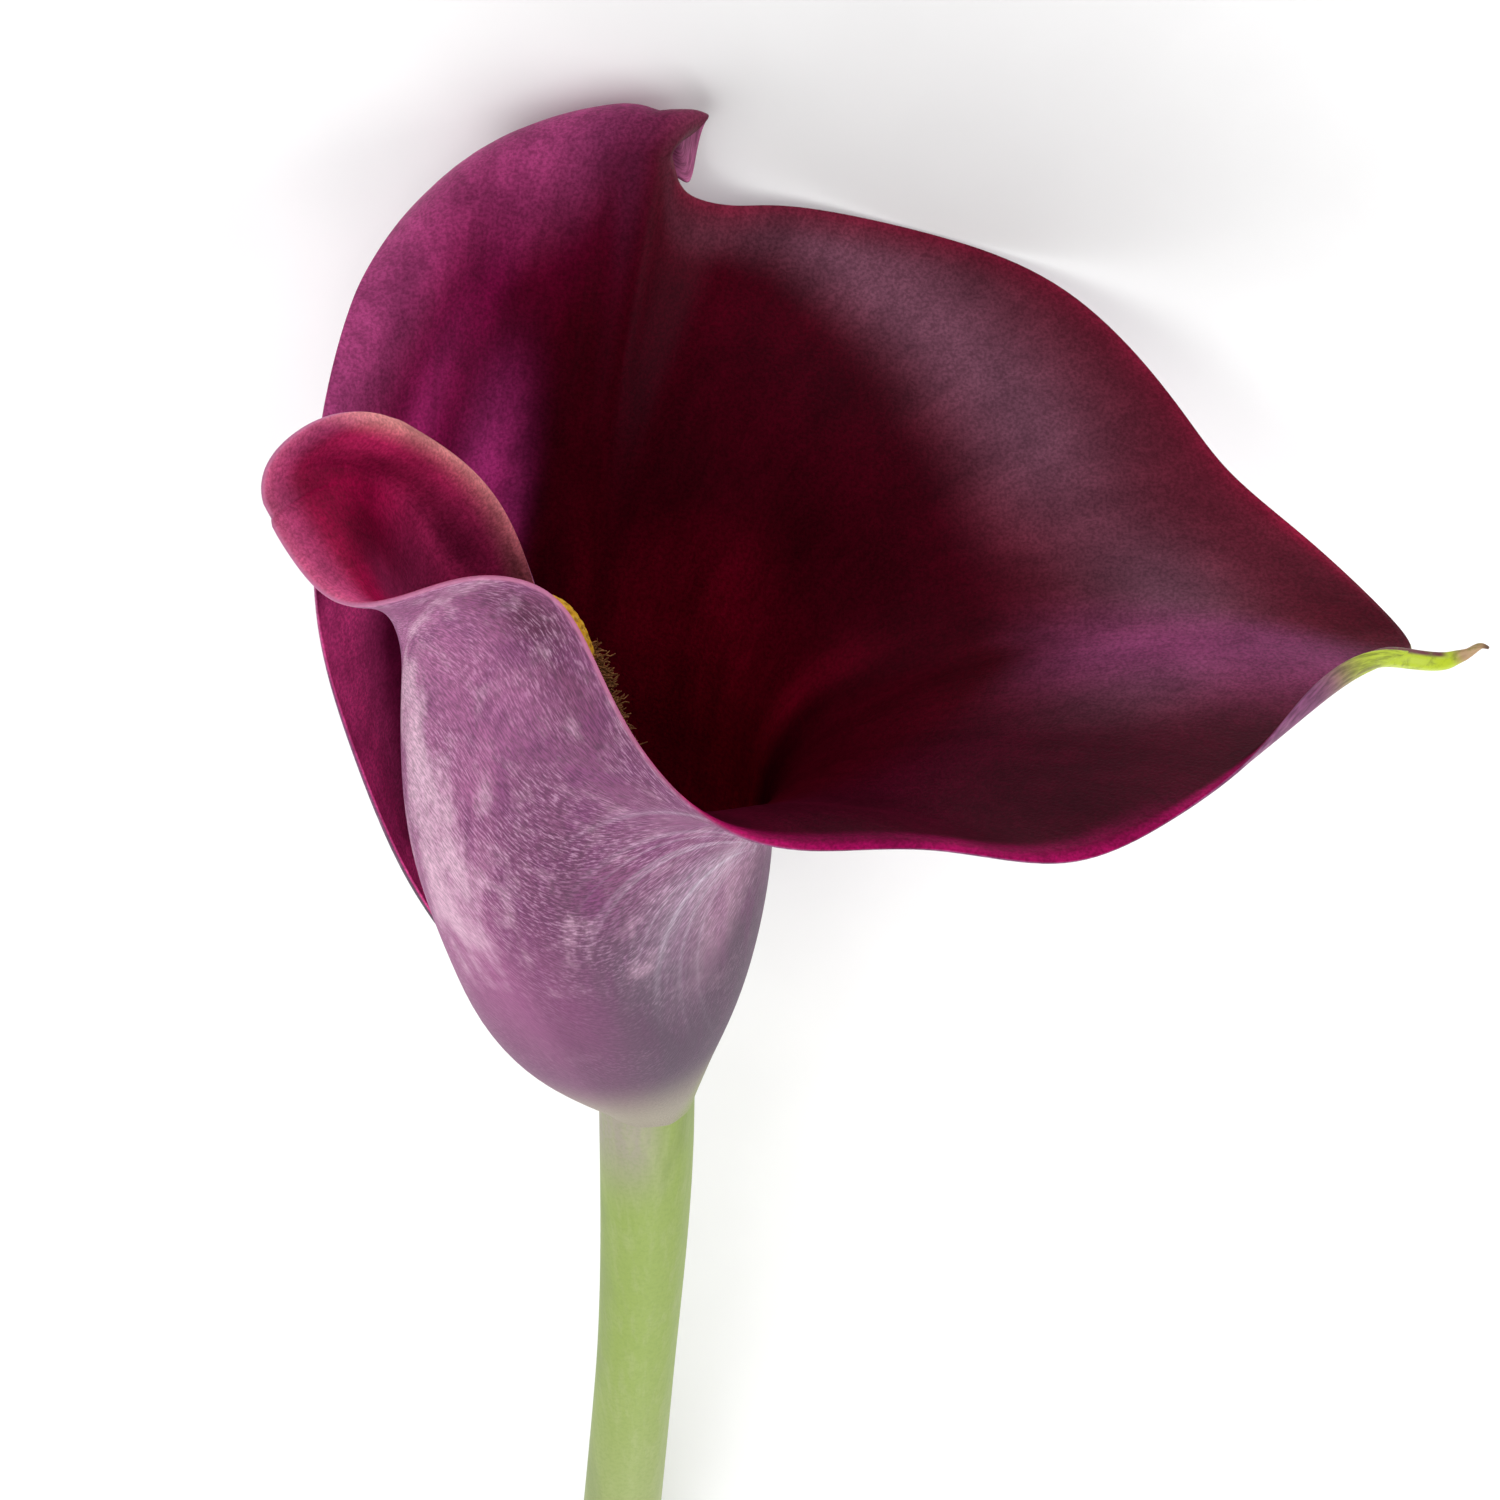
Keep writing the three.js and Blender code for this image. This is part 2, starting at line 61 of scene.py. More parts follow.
# Stations along the rim: turn round the axis in degrees, picture column and row, side, change of the
# tube's radius, swell of the shoulder, curl length, curl tightness (below 0 it curls inwards), slide
# of the curl along the rim, shoulder moved by x, height and side.
RIM_STATIONS = np.array([
    [-246, 404, 423.5, -7, -7.8, 0, 0.8, 0, 0, 2.1, 3, -2.5],
    [-241, 348, 413, -1.5, -5.2, 0, 0.8, 0, 0, 2.6, 4.5, -2.8],
    [-235, 290, 443, 3.5, -5, 0, 0.8, 0, 0, 1.8, 6.3, -3.2],
    [-226, 266, 490, 7, -4.5, 0, 0.8, 0, 0, 0, 9, -4],
    [-212, 295, 549, 11, -3, 0, 0.8, 0, 0, -0.8, 11, -1],
    [-194, 343, 603, 15, -1.2, 0, 0.8, 0, 0, 0.7, 7, 1],
    [-176, 405, 598, 17, -0.2, 0.08, 0.8, 0, 0, 0.1, 0, 0],
    [-158, 470, 579, 18, 0, 0.12, 0.8, 0, 0, -0.3, 0, 0],
    [-142, 540, 592, 18.5, 0, 0.12, 0.8, 0.1, 0, 0, 0, 0],
    [-128, 580, 645, 21, 0, 0.13, 1, 0.2, 0, 0, 0, 0],
    [-112, 622, 735, 25, 0, 0.14, 1.5, 0.2, 0, 0, 0, 0],
    [-93, 695, 812, 29, 0, 0.14, 2, 0.2, 0, 0, 0, 0],
    [-76, 795, 842, 31.5, 0, 0.12, 2, 0.2, 0, 0, 0, 0],
    [-60, 920, 836, 33, 0, 0.1, 2, 0.2, 0, 0, 0, 0],
    [-45, 1050, 856, 33, 0, 0.08, 2, 0.2, 0, 0, 0, 0],
    [-31, 1160, 812, 28, 0, 0.07, 1.5, 0.1, 0, 0, 0, 0],
    [-18, 1266, 740, 16.5, 0, 0.08, 2.4, -0.8, 0, 0, 0, 0],
    [-7, 1344, 676, 6, 0, 0.1, 3.4, -0.85, 0, 0, 0, 0],
    [0, 1398, 652, 0, 0, 0.11, 1.2, -0.3, 0, 0, 0, 0],
    [7, 1380, 616, -5, 0, 0.11, 0.8, 0, 0, 0, 0, 0],
    [17, 1297, 539, -14.5, 0, 0.12, 1, 0, 0, 0, 0, 0],
    [23.5, 1214, 473, -21.5, 0, 0.125, 1.2, 0.05, 0, 0, 0, 0],
    [30, 1158, 402, -28, 0, 0.13, 1.5, 0.1, 0, 0, 0, 0],
    [45, 1051, 297, -37.5, 0, 0.13, 2, 0.15, 0, 0, 0, 0],
    [60, 918, 249, -40, 0, 0.12, 2, 0.15, 0, 0, 0, 0],
    [75, 790, 224, -39.5, 0, 0.1, 2, 0.15, 0, 0, 0, 0],
    [85, 735, 222, -38.5, 0, 0.08, 1.6, 0.16, 0, 0, 0, 0],
    [89, 695, 208, -37, 0, 0.06, 1, 0.2, 0, 0, 0, 0],
    [93, 672, 184, -36, 0, 0.05, 1, 0.25, -0.3, 0, 0, 0],
    [97, 662, 157, -35.5, 0, 0.04, 4.5, 0.26, -0.9, 0, 0, 0],
    [103, 640, 153, -35.5, 0, 0.03, 8.6, 0.28, -0.55, 0, 0, 0],
    [108, 620, 153, -35.5, 0, 0.03, 15.2, 0.29, -0.44, 0, 0, 0],
    [114, 594, 156, -35.5, 0.3, 0.03, 12.8, 0.26, -0.3, 0, 0, 0],
    [128, 522, 185, -33.5, 0.6, 0.04, 13, 0.22, -0.1, 0, 0, 0],
    [142, 461, 241, -29, 1.2, 0.06, 11.1, 0.2, 0, 0, 0, 0],
    [156, 393, 343, -20.5, 2.2, 0.08, 7.8, 0.18, 0, 0, 0, 0],
    [171, 333, 418, -12, 3.5, 0.1, 2.9, 0.15, 0, -1.1, 0, 0],
    [184, 315, 487, -7, 5, 0.1, 0.8, 0.1, 0, -2.0, 0, 0],
])
TURN, INSET, SWELL, CURL, TIGHT, SLIDE = 0, 4, 5, 6, 7, 8
CREST_PLACE, SHOULDER_SHIFT = slice(1, 4), slice(9, 12)

# Rings of the tube, from a collar on the stem upwards: height, middle x, radius across, radius
# towards the side, share of the change of radius, share of the overlap, share of the flaps' lift.
TUBE_RINGS = np.array([
    [-3, NECK_X, 4.2, 4.2, 0, 0, 0],
    [0, NECK_X, 4.25, 4.25, 0, 0, 0],
    [7, -12.8, 9, 8.6, 0, 0.1, 1],
    [17, -14.4, 13.9, 13.5, 0.05, 0.2, 1],
    [31, -14.5, 16.6, 15.8, 0.18, 1, 1],
    [45, -13.5, 18.7, 17.3, 0.7, 1, 1],
])
CREST = len(TUBE_RINGS) + 1         # where the curl begins, counted in rings
SEAM_TURN = 161                     # where the margins meet, low on the tube
FLAP_LIFT = 0.95                    # how far each overlapping margin leaves the tube's wall
OUTER_FLAP_TURNS = (80, 128)
INNER_FLAP_TURNS = (-150, -190)
COLUMNS_PER_STATION = 11
TUBE_ROWS = 40                      # rows of faces up the tube
LIMB_ROWS = 54                      # and from there to the crest
CURL_ROWS = 12
NEARBY = 1e-3                       # a small step along a curve, to find its direction
EDGE_STEPS = np.array([0.5, 0.36, 0.24, 0.14, 0.06, 0])     # mm from the rim
COLLAR_THICKNESS = 0.4
TUBE_THICKNESS = 1.3
CREST_THICKNESS = 0.62
RIM_THICKNESS = 0.36
THICKENS = (0.02, 0.25)             # over these shares of the way up to the crest
THINS = (0.2, 1)
MARGIN_TAPER = 5                    # the sheet thins to half over this distance from a side margin
MARGIN_COLUMNS = np.array([0, 0.008, 0.02, 0.036, 0.056])   # close columns there, in stations
TEAR_TURN = -221.5                  # a small tear in the spout's rim
TEAR_DEPTH = 0.8
TEAR_TURNS = 1.3


def ease(start, end, value):
    """A smooth step: 0 up to start, 1 from end on, and 3 t^2 - 2 t^3 in between."""
    t = np.clip((value - start) / (end - start), 0, 1)
    return t * t * (3 - 2 * t)


def bump(value, middle, width):
    """A soft bump, exp(-((value - middle) / width)^2)."""
    return np.exp(-((value - middle) / width) ** 2)


def spline(rows, t):
    """A smooth curve by the rows at t (0 at the first, 1 at the second...): a cubic B-spline whose
    controls are (8 row - row before - row after) / 6, carried on straight past both ends."""
    longer = np.concatenate([2 * rows[:1] - rows[1:2], rows, 2 * rows[-1:] - rows[-2:-1]])
    pushed = (8 * rows - longer[:-2] - longer[2:]) / 6
    pushed = np.concatenate([2 * pushed[:1] - pushed[1:2], pushed, 2 * pushed[-1:] - pushed[-2:-1]])
    first = np.clip(np.floor(t).astype(int), 0, len(rows) - 2)
    f = (t - first).reshape((-1,) + (1,) * (rows.ndim - 1))
    return ((1 - f) ** 3 * pushed[first] + (3 * f ** 3 - 6 * f ** 2 + 4) * pushed[first + 1]
            + (-3 * f ** 3 + 3 * f ** 2 + 3 * f + 1) * pushed[first + 2] + f ** 3 * pushed[first + 3]) / 6


def unit(vectors):
    """The same directions with length 1."""
    return vectors / (np.linalg.norm(vectors, axis=-1, keepdims=True) + 1e-12)


def seen_at(column, row, side):
    """The flower's point that the viewer sees at a pixel, given its side: the line of sight is
    followed until it stands that far to the side."""
    across = (column - PICTURE_SIZE / 2) * PICTURE_SCALE
    up = (PICTURE_SIZE / 2 - row) * PICTURE_SCALE
    cos, sin = np.cos(VIEW_TILT), np.sin(VIEW_TILT)
    reach = VIEWER_DISTANCE + VIEWER_DEPTH
    height = (up * (reach - side * cos) / VIEWER_DISTANCE - NECK_ROW + side * sin) \
        / (cos + up * sin / VIEWER_DISTANCE)
    depth = height * sin + side * cos
    return np.stack([across * (reach - depth) / VIEWER_DISTANCE, height, side], -1)


def laid(points):
    """Points of the flower's frame, pitched about the neck and set on the table, in metres."""
    cos, sin = np.cos(LYING_PITCH), np.sin(LYING_PITCH)
    x, height, side = points[..., 0] - NECK_X, points[..., 1], points[..., 2]
    return (np.stack([x, height * cos - side * sin, height * sin + side * cos], -1)
            + NECK_ON_TABLE) / 1000


def sheet_middle(place):
    """The sheet's middle surface over the places along the rim. A profile runs through the tube's
    rings, a shoulder and the crest; past it comes an arc of the curl's length, tightness and slide.
    Low on the tube the margins meet at the seam: the turns are drawn together to a full circle, and
    the overlap grows from ring to ring. Returns the points, the share of the way up (0 to 1, past 1
    in the curl), the distance that is left to the rim, and the turn."""
    rim = RIM_STATIONS.copy()
    rim[:, CREST_PLACE] = seen_at(*rim.T[CREST_PLACE])
    values = spline(rim, place)
    turn = values[:, TURN]
    lift = FLAP_LIFT * (ease(*OUTER_FLAP_TURNS, turn) - ease(*INNER_FLAP_TURNS, turn))
    middle_turn = (rim[0, TURN] + rim[-1, TURN]) / 2
    narrow = SEAM_TURN - 180 + (turn - middle_turn) * 180 / (rim[-1, TURN] - middle_turn)
    height, middle, across, sideways, inset, overlap, lifted = TUBE_RINGS.T[:, :, None]
    angle = np.radians(narrow + overlap * (turn - narrow))
    change = values[:, INSET] * inset + lift * lifted
    rings = np.stack([middle + (across + change) * np.cos(angle), height + 0 * angle,
                      -(sideways + change) * np.sin(angle)], -1)
    crest = values[:, CREST_PLACE]
    chord = crest - rings[-1]
    along = unit(chord)
    inwards = unit(np.array([0, 1, 0]) - along[:, 1:2] * along)
    swell = values[:, SWELL, None] * np.linalg.norm(chord, axis=1, keepdims=True) * inwards
    shoulder = rings[-1] + chord / 2 + swell + values[:, SHOULDER_SHIFT]
    tear = TEAR_DEPTH * bump(turn, TEAR_TURN, TEAR_TURNS)
    crest = crest - tear[:, None] * along
    profile = np.concatenate([rings, shoulder[None], crest[None]])
    level = np.concatenate([np.linspace(0, CREST - 2, TUBE_ROWS + 1)[:-1],
                            np.linspace(CREST - 2, CREST, LIMB_ROWS + 1)])
    body = spline(profile, level)

    tangent = unit(crest - spline(profile, np.array([CREST - NEARBY]))[0])
    last = len(rim) - 1
    rim_way = unit(spline(rim, np.minimum(last, place + NEARBY))[:, CREST_PLACE]
                   - spline(rim, np.maximum(0, place - NEARBY))[:, CREST_PLACE])
    outwards = unit(np.cross(rim_way, tangent))
    length = values[:, CURL]
    steps = np.arange(1, CURL_ROWS + 1)[:, None] / CURL_ROWS * (length - EDGE_STEPS[0])
    steps = np.concatenate([steps, length - EDGE_STEPS[1:, None]])
    tight = values[:, TIGHT] + 1e-4 * (np.abs(values[:, TIGHT]) < 1e-4)
    arc = (np.sin(tight * steps) / tight)[..., None] * tangent \
        + ((1 - np.cos(tight * steps)) / tight)[..., None] * outwards \
        + (values[:, SLIDE] * steps)[..., None] * rim_way
    points = np.concatenate([body, crest + arc])
    way_up = np.concatenate([level[:, None] / CREST + 0 * length, 1 + steps / length])
    to_crest = np.linalg.norm(np.diff(body, axis=0), axis=-1)[::-1].cumsum(0)[::-1]
    left = np.concatenate([to_crest + length, length[None], length - steps])
    return points, way_up, left, turn


def sheet_grid():
    """Both faces of the sheet: the middle surface moved half a thickness along its normal each way.
    The sheet thickens above the collar, and thins towards the crest, the rim and both side margins.
    Half of it is thickness / 2 * sqrt(r (2 - r) m (2 - m)), where r and m grow from 0 at the rim and
    at a side margin to 1 half a thickness further in, so that it rounds off to nothing where the
    faces share points. Returns both faces, the way up, the distance left and the turn."""
    last = len(RIM_STATIONS) - 1
    place = np.unique(np.concatenate([np.arange(last * COLUMNS_PER_STATION + 1) / COLUMNS_PER_STATION,
                                      MARGIN_COLUMNS, last - MARGIN_COLUMNS]))
    middle, way_up, left, turn = sheet_middle(place)
    normal = unit(np.cross(np.gradient(middle, axis=1), np.gradient(middle, axis=0)))
    from_margin = np.concatenate([[0], np.linalg.norm(np.diff(middle, axis=1), axis=-1).max(0).cumsum()])
    from_margin = np.minimum(from_margin, from_margin[-1] - from_margin)
    up = np.minimum(way_up, 1)
    thickness = COLLAR_THICKNESS + (TUBE_THICKNESS - COLLAR_THICKNESS) * ease(*THICKENS, up)
    thickness += (CREST_THICKNESS - TUBE_THICKNESS) * ease(*THINS, up)
    thickness += (RIM_THICKNESS - CREST_THICKNESS) * ease(1, 2, way_up)
    thickness = thickness * (0.5 + 0.5 * ease(0, MARGIN_TAPER, from_margin))
    into_rim = np.minimum(2 * left / thickness, 1)
    into_margin = np.minimum(2 * from_margin / thickness, 1)
    half = thickness / 2 * np.sqrt(into_rim * (2 - into_rim) * into_margin * (2 - into_margin))
    half[0] = 0
    outer = middle + half[..., None] * normal
    inner = middle - half[..., None] * normal
    return outer, inner, way_up, left, turn + 0 * left


def blank(name, points, faces):
    """A smooth mesh object at the origin, from points in metres and faces of 3 or 4 corners."""
    mesh = bpy.data.meshes.new(name)
    mesh.from_pydata(np.asarray(points).tolist(), [], faces)
    mesh.polygons.foreach_set("use_smooth", np.ones(len(mesh.polygons), bool))
    mesh.update()
    made = bpy.data.objects.new(name, mesh)
    bpy.context.scene.collection.objects.link(made)
    return made


def quads(numbers):
    """The four-cornered faces of a grid of point numbers."""
    corners = [numbers[:-1, :-1], numbers[:-1, 1:], numbers[1:, 1:], numbers[1:, :-1]]
    return np.stack(corners, -1).reshape(-1, 4)


def store(piece, name, values):
    """Keeps one number, or one colour, for each point of a piece."""
    kind = "FLOAT" if values.ndim == 1 else "FLOAT_COLOR"
    field = "value" if values.ndim == 1 else "color"
    layer = piece.data.attributes.new(name, kind, "POINT")
    if values.ndim == 2:
        values = np.concatenate([values, np.ones((len(values), 1))], 1)
    layer.data.foreach_set(field, values.astype(np.float32).ravel())


def shade(red, green, blue):
    """A colour given as on a paint card, 0 to 255, turned into light."""
    card = np.array([red, green, blue]) / 255
    return np.where(card <= 0.04045, card / 12.92, ((card + 0.055) / 1.055) ** 2.4)


def painted(ground, layers):
    """A ground colour with others laid over it in turn, each by its own amount from 0 to 1."""
    for colour, amount in layers:
        ground = ground + (colour - ground) * amount[..., None]
    return ground


outer, inner, way_up, left, turn = sheet_grid()
rows, columns = way_up.shape
outer_numbers = np.arange(rows * columns).reshape(rows, columns)
inner_numbers = outer_numbers.copy()
inner_numbers[1:-1, 1:-1] = rows * columns + np.arange((rows - 2) * (columns - 2)).reshape(rows - 2, -1)
sheet_points = np.concatenate([outer.reshape(-1, 3), inner[1:-1, 1:-1].reshape(-1, 3)])
sheet_faces = np.concatenate([quads(outer_numbers), quads(inner_numbers)[:, ::-1]])
spathe = blank("spathe_sheet", laid(sheet_points), sheet_faces.tolist())


def both(grid):
    """A value given over the grid, for the points of both faces."""
    return np.concatenate([grid.reshape((rows * columns,) + grid.shape[2:]),
                           grid[1:-1, 1:-1].reshape((-1,) + grid.shape[2:])])


# Colours of the outer face: lilac, paler along the left partly as painted light, with painted shade on
# the right and under the rim, greyer low on the right, green at the neck.
LILAC = shade(152, 88, 130)
DEEP_LILAC = shade(124, 68, 106)
DARK_LILAC = DEEP_LILAC * 0.72
# painted shade under the near rim on the outer face
PURPLE_GREY_SHADE = shade(90, 32, 68)
GREY_MAUVE = shade(78, 62, 77)
PALE_LILAC = shade(200, 160, 182)
ROLL_PINK = shade(176, 96, 138)
NECK_BEIGE = shade(150, 142, 128)
NECK_GREEN = shade(136, 152, 84)
TAIL_OLIVE = shade(132, 118, 70)
TAIL_GREEN = shade(158, 174, 46)
MOTTLE_PURPLE = shade(112, 50, 98)
STREAK_PALE = shade(190, 176, 190)
# pale beads: the papillae's pale colour, partly painted glints
BEAD_PALE_GLINT = shade(206, 172, 196)
SPECK_TAN = shade(225, 190, 150)
# Colours of the inner face: maroon in the throat with painted light deep in it, a painted mauve
# sheen over the limb, purple to lilac on the lobe with the lilac partly painted sheen.
THROAT = shade(56, 0, 12)
# painted light: brighter red where the throat is deepest, for light bounced inside it
THROAT_DEEP_GLOW = shade(126, 2, 34)
LIMB_DARK = shade(54, 2, 19)
# painted sheen over the limb: wine, mauve and violet
LIMB_WINE_SHEEN = shade(80, 20, 35)
LIMB_MAUVE_SHEEN = shade(98, 58, 74)
LIMB_VIOLET_SHEEN = shade(114, 49, 86)
LOBE_DARK = shade(70, 2, 26)
LOBE_PURPLE = shade(93, 4, 47)
# lilac, partly painted sheen along the lobe's crest
LOBE_LILAC_AND_SHEEN = shade(152, 60, 110)
LOBE_PATCH = shade(158, 42, 108)
# painted light on the strip beside the spout
STRIP_PAINTED_LIGHT = shade(205, 66, 132)
SPOUT_ROSE = shade(124, 4, 50)
# painted light on one flank of the spout
SPOUT_PAINTED_LIGHT = shade(190, 40, 96)
SPOUT_PINK = shade(160, 54, 104)
SPOUT_TAN = shade(190, 126, 122)
SPOUT_RIM = shade(184, 86, 120)
RIM_MAGENTA = shade(150, 10, 80)
# crimson of the far rim, partly a painted glow of light through the thin margin
RIM_CRIMSON_AND_GLOW = shade(140, 0, 48)
RIM_PINK = shade(190, 116, 150)
SPECK_PALE = shade(200, 170, 165)
VELVET_SHEEN = shade(250, 190, 222)
# The lower edge of the painted sheen on the limb: turns, and how far below the rim it lies there.
SHEEN_EDGE = (-15, 5, 25, 35, 45, 65, 75, 85), (28, 33, 24, 22, 20, 9.5, 5, 3)
SHEEN_GREYEST = 0.62                # the painted sheen is greyest at this share of that depth


def patch(middle_turn, turns, middle_left, width):
    """A soft oval patch on the sheet, round a turn and a distance left to the rim."""
    return bump(turn, middle_turn, turns) * bump(left, middle_left, width)


def outer_colour():
    """Lilac, deeper on the right in painted shade and deeper under the spout, with painted shade under
    the rim and grey low down, a pale patch under the pinch and pink on the roll of the lobe. At the
    neck come the beige and green of the stem, the green higher on the right, and at the tip the olive
    of the tail. Here and in inner_colour a layer is placed by its turn in degrees and by the mm left
    to the rim."""
    x, height = outer[..., 0], outer[..., 1]
    at_tip = ease(-14, -4, turn) * ease(9, 1, turn)
    return painted(LILAC, [
        # painted shade: deeper lilac on the right of the near wall, away from the light
        (DEEP_LILAC, ease(-128, -112, turn)),
        (DEEP_LILAC, 0.7 * ease(-180, -190, turn)),
        (DARK_LILAC, patch(-97, 12, 26, 12)),
        # painted shade under the rim
        (PURPLE_GREY_SHADE, bump(left, 4, 5) * (0.3 + 0.7 * bump(turn, -138, 18))),
        (GREY_MAUVE, 0.85 * ease(-112, -76, turn) * ease(46, 26, height)),
        (GREY_MAUVE, 0.62 * ease(30, 10, height)),
        (PALE_LILAC, 0.5 * bump(turn, -45, 12) * ease(38, 44, left) * ease(60, 50, left)),
        (NECK_BEIGE, ease(12, 0, height)),
        (NECK_GREEN, ease(5, -3, height - 2.2 * (x + 5.5)) * ease(20, 10, height)),
        (TAIL_OLIVE, ease(46, 53, x) * at_tip),
        (TAIL_GREEN, ease(51.5, 55.5, x) * at_tip),
        (ROLL_PINK, ease(88, 96, turn) * ease(20, 14, left)),
    ])


def pale_and_lit_band():
    """Where the outer face pales: a long band down the left of the near wall, partly painted light on
    the side that faces the light, and below 0 low down, where no pale marks show."""
    height = outer[..., 1]
    middle = -168 + 30 * ease(64, 36, height)
    band = bump(turn, middle, 17) * ease(16, 34, height) * ease(-183, -167, turn)
    return band * (0.35 + 0.6 * ease(66, 50, height)) - 0.45 * ease(32, 14, height)


def inner_colour():
    """Maroon in the throat, with painted light where it is deepest. Over the limb lies a painted mauve
    sheen, violet near the tip: its edge runs aslant, from 33 mm below the rim near the tip to 3 mm
    below it by the hook. The lobe is purple, with lilac along its crest that is partly painted sheen,
    magenta patches by the spout and painted light on the strip beside it. The spout is rose, with
    painted light on one flank, a dark trough, a pink rim and a tan side margin. A line of magenta
    follows the near rim, and one of crimson the far rim, partly a painted glow of light through the
    thin margin."""
    deeper = ease(38, 60, turn)
    sheen_edge = np.interp(turn, *SHEEN_EDGE)
    soft = 4 + 3 * ease(25, 5, turn)
    painted_sheen = ease(sheen_edge + soft, sheen_edge - soft, left) * ease(-23, -3, turn)
    painted_sheen = painted_sheen * (1 - 0.6 * bump(turn, 6, 5) * ease(11, 4, left))
    greyest = bump(left, SHEEN_GREYEST * sheen_edge, 6.5) * (1 - 0.45 * bump(turn, 21, 7))
    throat_and_limb = [
        # painted light deep in the throat
        (THROAT_DEEP_GLOW, ease(37 - 10 * deeper, 60 - 8 * deeper, left) * (1 - 0.2 * deeper)
         * ease(6, 24, turn) * ease(106, 84, turn)),
        (LIMB_DARK, ease(36, 24, left) * ease(4, -10, turn)),
        # painted sheen in a band along the limb
        (LIMB_WINE_SHEEN, painted_sheen),
        (LIMB_MAUVE_SHEEN, painted_sheen * greyest * (0.35 + 0.65 * ease(0.5, 5, left))),
        (LIMB_VIOLET_SHEEN, painted_sheen * bump(turn, -3, 10) * ease(0, 14, left - 1.6 * turn)),
        # painted sheen near the rim by the fold
        (LIMB_WINE_SHEEN, 0.5 * bump(turn, 96, 8) * ease(18, 2, left)),
    ]
    lobe = ease(96, 118, turn)
    narrower = ease(125, 145, turn)
    painted_light_by_spout = ease(150, 174, turn) * ease(26, 44, left)
    lobe_and_strip = [
        (LOBE_DARK, lobe * ease(31, 22, left)),
        (LOBE_PURPLE, ease(118, 131, turn - 6 * bump(left, 25, 5))),
        # lilac along the crest, partly painted sheen
        (LOBE_LILAC_AND_SHEEN, lobe * ease(24 - 7 * narrower, 2 - 5 * narrower, left)),
        (LOBE_PATCH, 0.95 * patch(129, 8, 38, 7)),
        (LOBE_PATCH, 0.55 * patch(121, 5, 46, 6)),
        (LOBE_PATCH, 0.35 * patch(150, 9, 22, 6)),
        # painted light on the strip beside the spout
        (STRIP_PAINTED_LIGHT, np.maximum(0.8 * painted_light_by_spout, ease(156, 169, turn) * ease(9, 16, left))),
    ]
    spout = ease(-150, -182, turn)
    spout_layers = [
        (SPOUT_ROSE, spout),
        # painted light on one flank of the spout
        (SPOUT_PAINTED_LIGHT, 0.7 * ease(-222, -240, turn) * ease(2, 8, left) * ease(34, 20, left)),
        (THROAT, 0.7 * bump(turn, -206, 12) * ease(4, 11, left)),
        (SPOUT_PINK, 0.7 * spout * ease(5.5, 1.5, left)),
        (SPOUT_PINK, 0.3 * spout * ease(13, 28, left) + 0.35 * bump(turn, -196, 8) * ease(6, 14, left)),
        (SPOUT_RIM, 0.85 * ease(-172, -196, turn) * np.exp(-left / 1.6)),
        (SPOUT_TAN, 0.85 * ease(-237.5, -244, turn) * (1 - 0.6 * ease(8, 30, left))),
    ]
    near = ease(-178, -160, turn) * ease(-6, -22, turn)
    far = ease(4, 20, turn) * ease(100, 92, turn)
    far_line = (0.15 + 0.4 * ease(26, 14, turn)) * ease(1.5, 0.4, left)
    rim_lines = [
        (RIM_MAGENTA, 0.4 * near * ease(-25, -42, turn) * ease(4.5, 1.5, left)),
        (RIM_MAGENTA, near * ease(1.5, 0.4, left) * (1 - 0.35 * ease(-75, -50, turn))),
        # crimson far rim, partly a painted glow of light through the margin
        (RIM_CRIMSON_AND_GLOW, far * (0.12 * ease(3.6, 1, left) + far_line)),
    ]
    return painted(THROAT, throat_and_limb + lobe_and_strip + spout_layers + rim_lines)


MAP_RADIUS = 16                     # the tube's radius that the map over the sheet takes, in mm
FAN_PINCH = (760, 846, 22)          # picture column, row and side
FAN_BEND = 0.04                     # the streaks turn on by this for every mm


def fan(points):
    """Streaks that fan out from the pinch under the near rim. Returns their angle round the pinch,
    how strongly they show, and the pale wedge between them."""
    from_pinch = points - seen_at(*FAN_PINCH)
    up = from_pinch[:, 1] * np.cos(VIEW_TILT) - from_pinch[:, 2] * np.sin(VIEW_TILT)
    reach = np.hypot(from_pinch[:, 0], up)
    angle = np.arctan2(up, -from_pinch[:, 0]) + FAN_BEND * reach
    strength = ease(21, 5, reach) * ease(-0.9, -0.35, angle) * ease(1.0, 0.5, angle)
    return angle, strength, strength * bump(angle, -0.3, 0.28)


def mottling():
    """How strongly the mottles show: on the outer face fading towards the neck, the roll and the
    tail, on the inner one stronger on the lobe and in the spout."""
    x, height = outer[..., 0], outer[..., 1]
    outside = ease(2, 18, height) * (0.2 + 0.8 * ease(18, 42, height)) * ease(92, 84, turn) * ease(50, 38, x)
    inside = 0.25 + 0.15 * np.maximum(ease(100, 125, turn), ease(-140, -170, turn))
    return np.concatenate([outside.ravel(), inside[1:-1, 1:-1].ravel()])


def map_sheet():
    """A map over the sheet, in mm: round the tube, and down from the rim."""
    layer = spathe.data.uv_layers.new(name="sheet")
    corner_points = np.empty(len(spathe.data.loops), int)
    spathe.data.loops.foreach_get("vertex_index", corner_points)
    places = np.stack([both(np.radians(turn) * MAP_RADIUS), both(left)], 1)
    layer.data.foreach_set("uv", places[corner_points].astype(np.float32).ravel())


